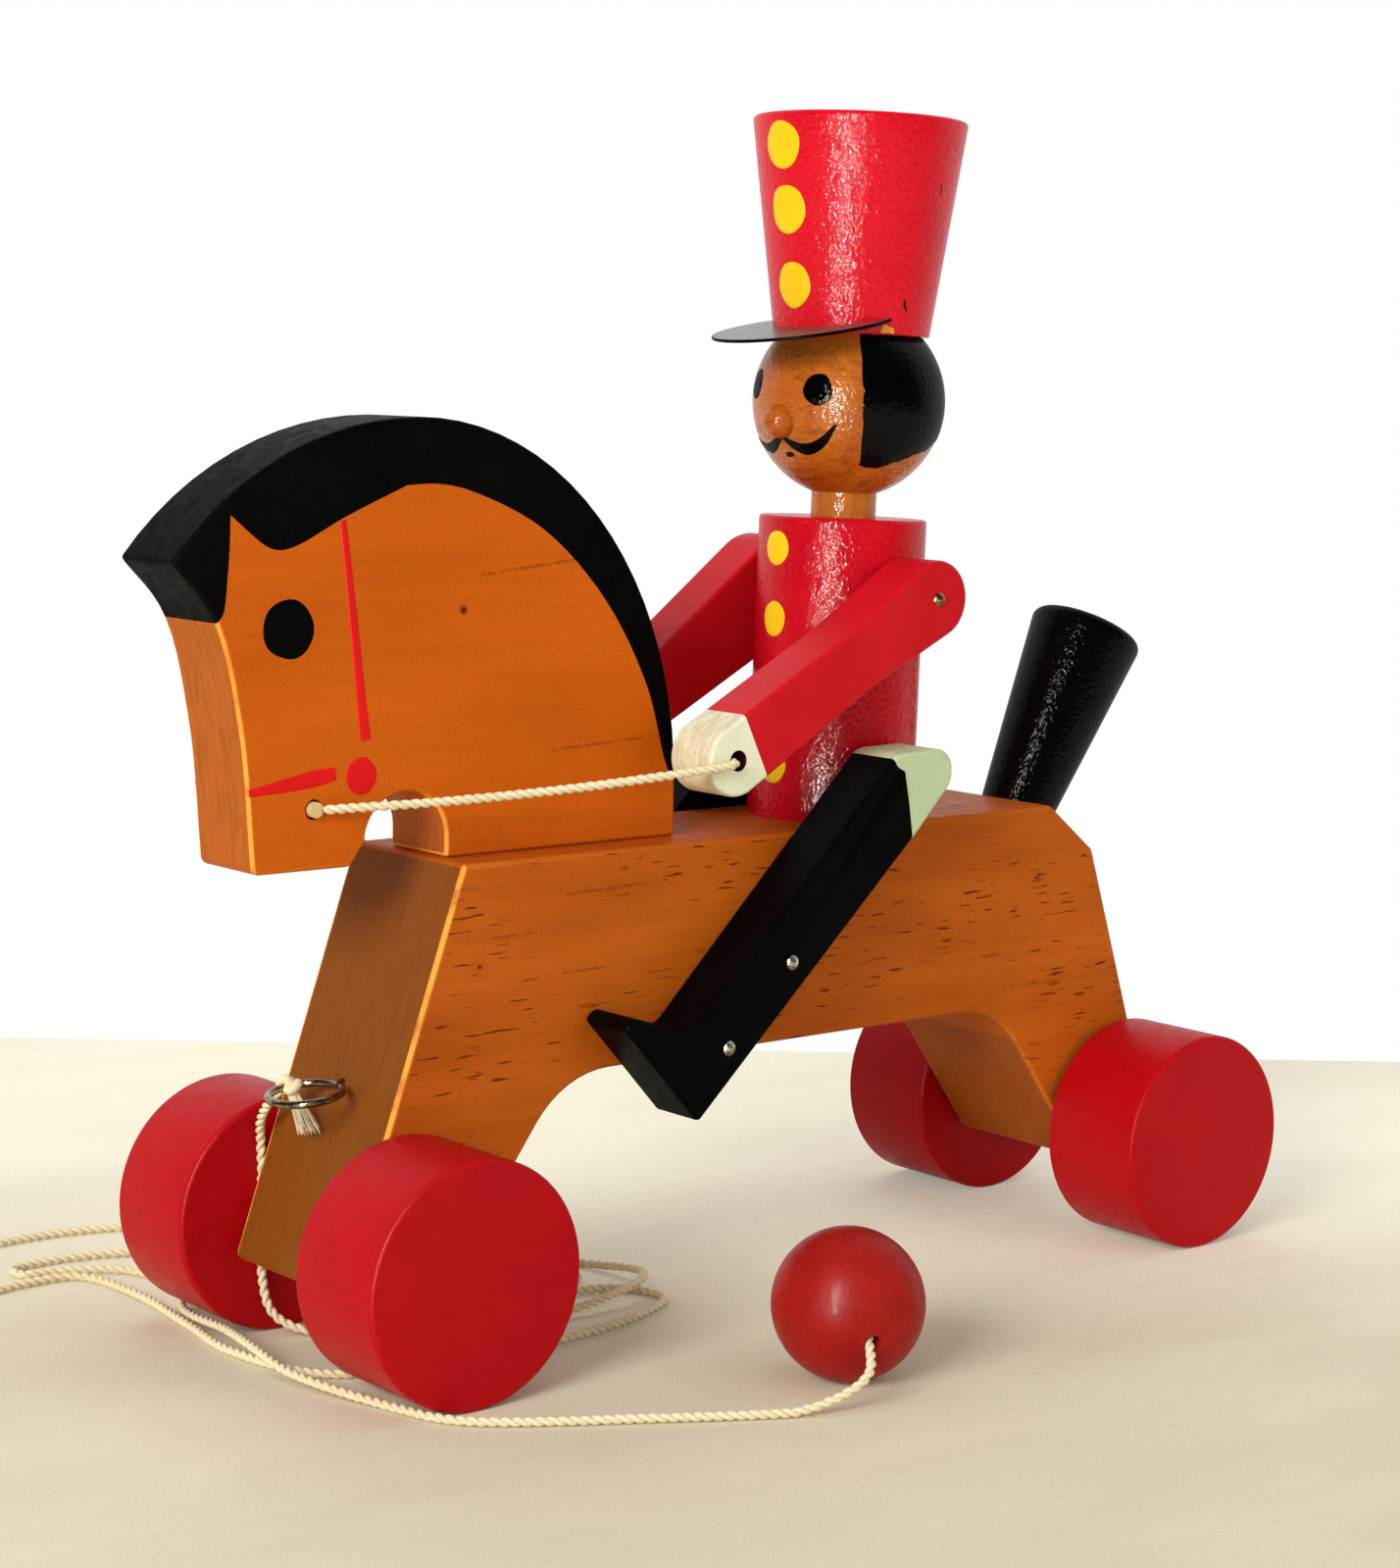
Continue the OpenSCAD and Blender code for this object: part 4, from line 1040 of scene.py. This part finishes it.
def make_fittings():
    dressed("screw_eye", "screw_eye_bright", "eye", "eye_steel")
    for node, finish in (("head_dowels", "dowel"), ("seat_dowel", "dowel"), ("hat_dowel", "dowel"),
                         ("front_axle", "axle"), ("rear_axle", "axle")):
        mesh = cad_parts[node].data
        mesh.materials.clear()
        mesh.materials.append(M[finish])


# Stage and light

# Two places on the floor's far edge, and how far the floor goes along and from it, in metres
FLOOR_EDGE = ((-0.0016, 0.3087), (0.3079, 0.0555))
FLOOR_HALF, FLOOR_DEEP = 2, 3
# The floor's painted glow, seen by the camera and in gloss, grows this way, towards its far edge
FLOOR_GLOW_WAY = (0.64, 0.77, 0)


def make_stage():
    """A pale cloth that ends behind the toy, before a white wall, with a painted glow that grows towards
    its far edge.
    """
    a, b = (Vector((x, y, 0)) for x, y in FLOOR_EDGE)
    along_edge = (b - a).normalized()
    toward = Vector((along_edge.y, -along_edge.x, 0))
    if toward.dot(Vector(CAMERA_PLACE)) < 0:
        toward = -toward
    ends = [(a + b) / 2 - along_edge * FLOOR_HALF, (a + b) / 2 + along_edge * FLOOR_HALF]
    corners = ends + [ends[1] + toward * FLOOR_DEEP, ends[0] + toward * FLOOR_DEEP]
    floor = made("floor", corners, [[0, 1, 2, 3]], "cotton")
    f = Finish("cloth", roughness=0.9, specular=0.05)
    weave = f.noise((0.7, 0.7, 0.7), 3, 0.7)
    broad = f.span(f.noise((90, 50, 50), 3, 0.5, 2.0), 0.35, 0.7)
    base = f.mix(broad, (232, 224, 198), (222, 213, 186))
    base = f.mix(f.span(weave, 0.5, 0.75, 0.0, 0.45), base, (178, 166, 140))
    f.give("Base Color", base)
    rays = f.nodes.new("ShaderNodeLightPath").outputs
    seen = f.maths("MAXIMUM", rays["Is Camera Ray"], rays["Is Glossy Ray"])
    behind = f.vectors("DOT_PRODUCT", f.place, FLOOR_GLOW_WAY)
    # Painted light: the cloth glows for the camera and in gloss, weakly near the toy and more towards its
    # far edge
    f.shader.inputs["Emission Color"].default_value = colour(240, 244, 234)
    f.give("Emission Strength", f.product(seen, f.span(behind, -0.04, 0.1, 0.02, 0.32)))
    f.give("Normal", f.bump(weave, 0.1, 0.5, f.bump(f.noise((70, 30, 30), 2, 0.5, 5.0), 3.0, 0.5)))
    floor.data.materials.clear()
    floor.data.materials.append(f.material)
    if floor.data.polygons[0].normal.z < 0:
        floor.data.flip_normals()


# The way to the middle of the white wall
WALL_WAY = (0.64, 0.77, 0.1)


def make_world():
    """White behind the toy for what the camera and gloss see, and a plain soft level for the rest."""
    world = bpy.data.worlds.new("world")
    bpy.context.scene.world = world
    world.use_nodes = True
    g = Graph(world.node_tree)
    way = g.nodes.new("ShaderNodeTexCoord").outputs["Generated"]
    toward = g.vectors("DOT_PRODUCT", way, Vector(WALL_WAY).normalized())
    rays = g.nodes.new("ShaderNodeLightPath").outputs
    plain, shiny = g.span(toward, -0.3, 0.35, 0.42, 0.62), g.span(toward, -0.05, 0.4, 0.03, 1.0)
    level = g.blend(rays["Is Glossy Ray"], plain, shiny)
    for ray in ("Is Transmission Ray", "Is Camera Ray"):
        level = g.blend(rays[ray], level, 1.0)
    ground = g.nodes["Background"]
    g.links.new(level, ground.inputs["Strength"])
    ground.inputs["Color"].default_value = (1, 1, 1, 1)


LAMP_AIM = (0, 0, 0.12)


def lamp(name, azimuth, rise, far, width, height, power, tint=(1, 1, 1), matt=True, gloss=True):
    """A rectangular lamp, far metres from the toy's middle and turned to it, at an azimuth and a rise."""
    data = bpy.data.lights.new(name, "AREA")
    data.shape = "RECTANGLE"
    data.size, data.size_y = width, height
    data.energy = power
    data.color = tint
    light = bpy.data.objects.new(name, data)
    a, r = math.radians(azimuth), math.radians(rise)
    way = Vector((math.cos(a) * math.cos(r), math.sin(a) * math.cos(r), math.sin(r)))
    light.location = Vector(LAMP_AIM) + way * far
    light.rotation_mode = "QUATERNION"
    light.rotation_quaternion = way.to_track_quat("Z", "Y")
    light.visible_diffuse = matt
    light.visible_glossy = gloss
    light.visible_camera = False
    bpy.context.scene.collection.objects.link(light)


def make_light():
    """A window ahead of the toy on its left, its narrow pane in the gloss alone, and two weak fills."""
    lamp("window", 201, 23, 2.6, width=1.1, height=0.9, power=52.0, tint=(1, 0.99, 0.96), gloss=False)
    lamp("side_fill", 288, 14, 1.3, width=0.7, height=0.7, power=2.5, gloss=False)
    lamp("window_pane", 216, 6, 0.38, width=0.012, height=0.3, power=2.9, tint=(1, 0.98, 0.95), matt=False)
    lamp("back_fill", 60, 40, 1.4, width=0.8, height=0.8, power=3.0, gloss=False)


make_camera()
make_cords()
make_horse()
make_rider()
make_fittings()
make_stage()
make_world()
make_light()
bpy.context.scene.view_settings.view_transform = "Standard"
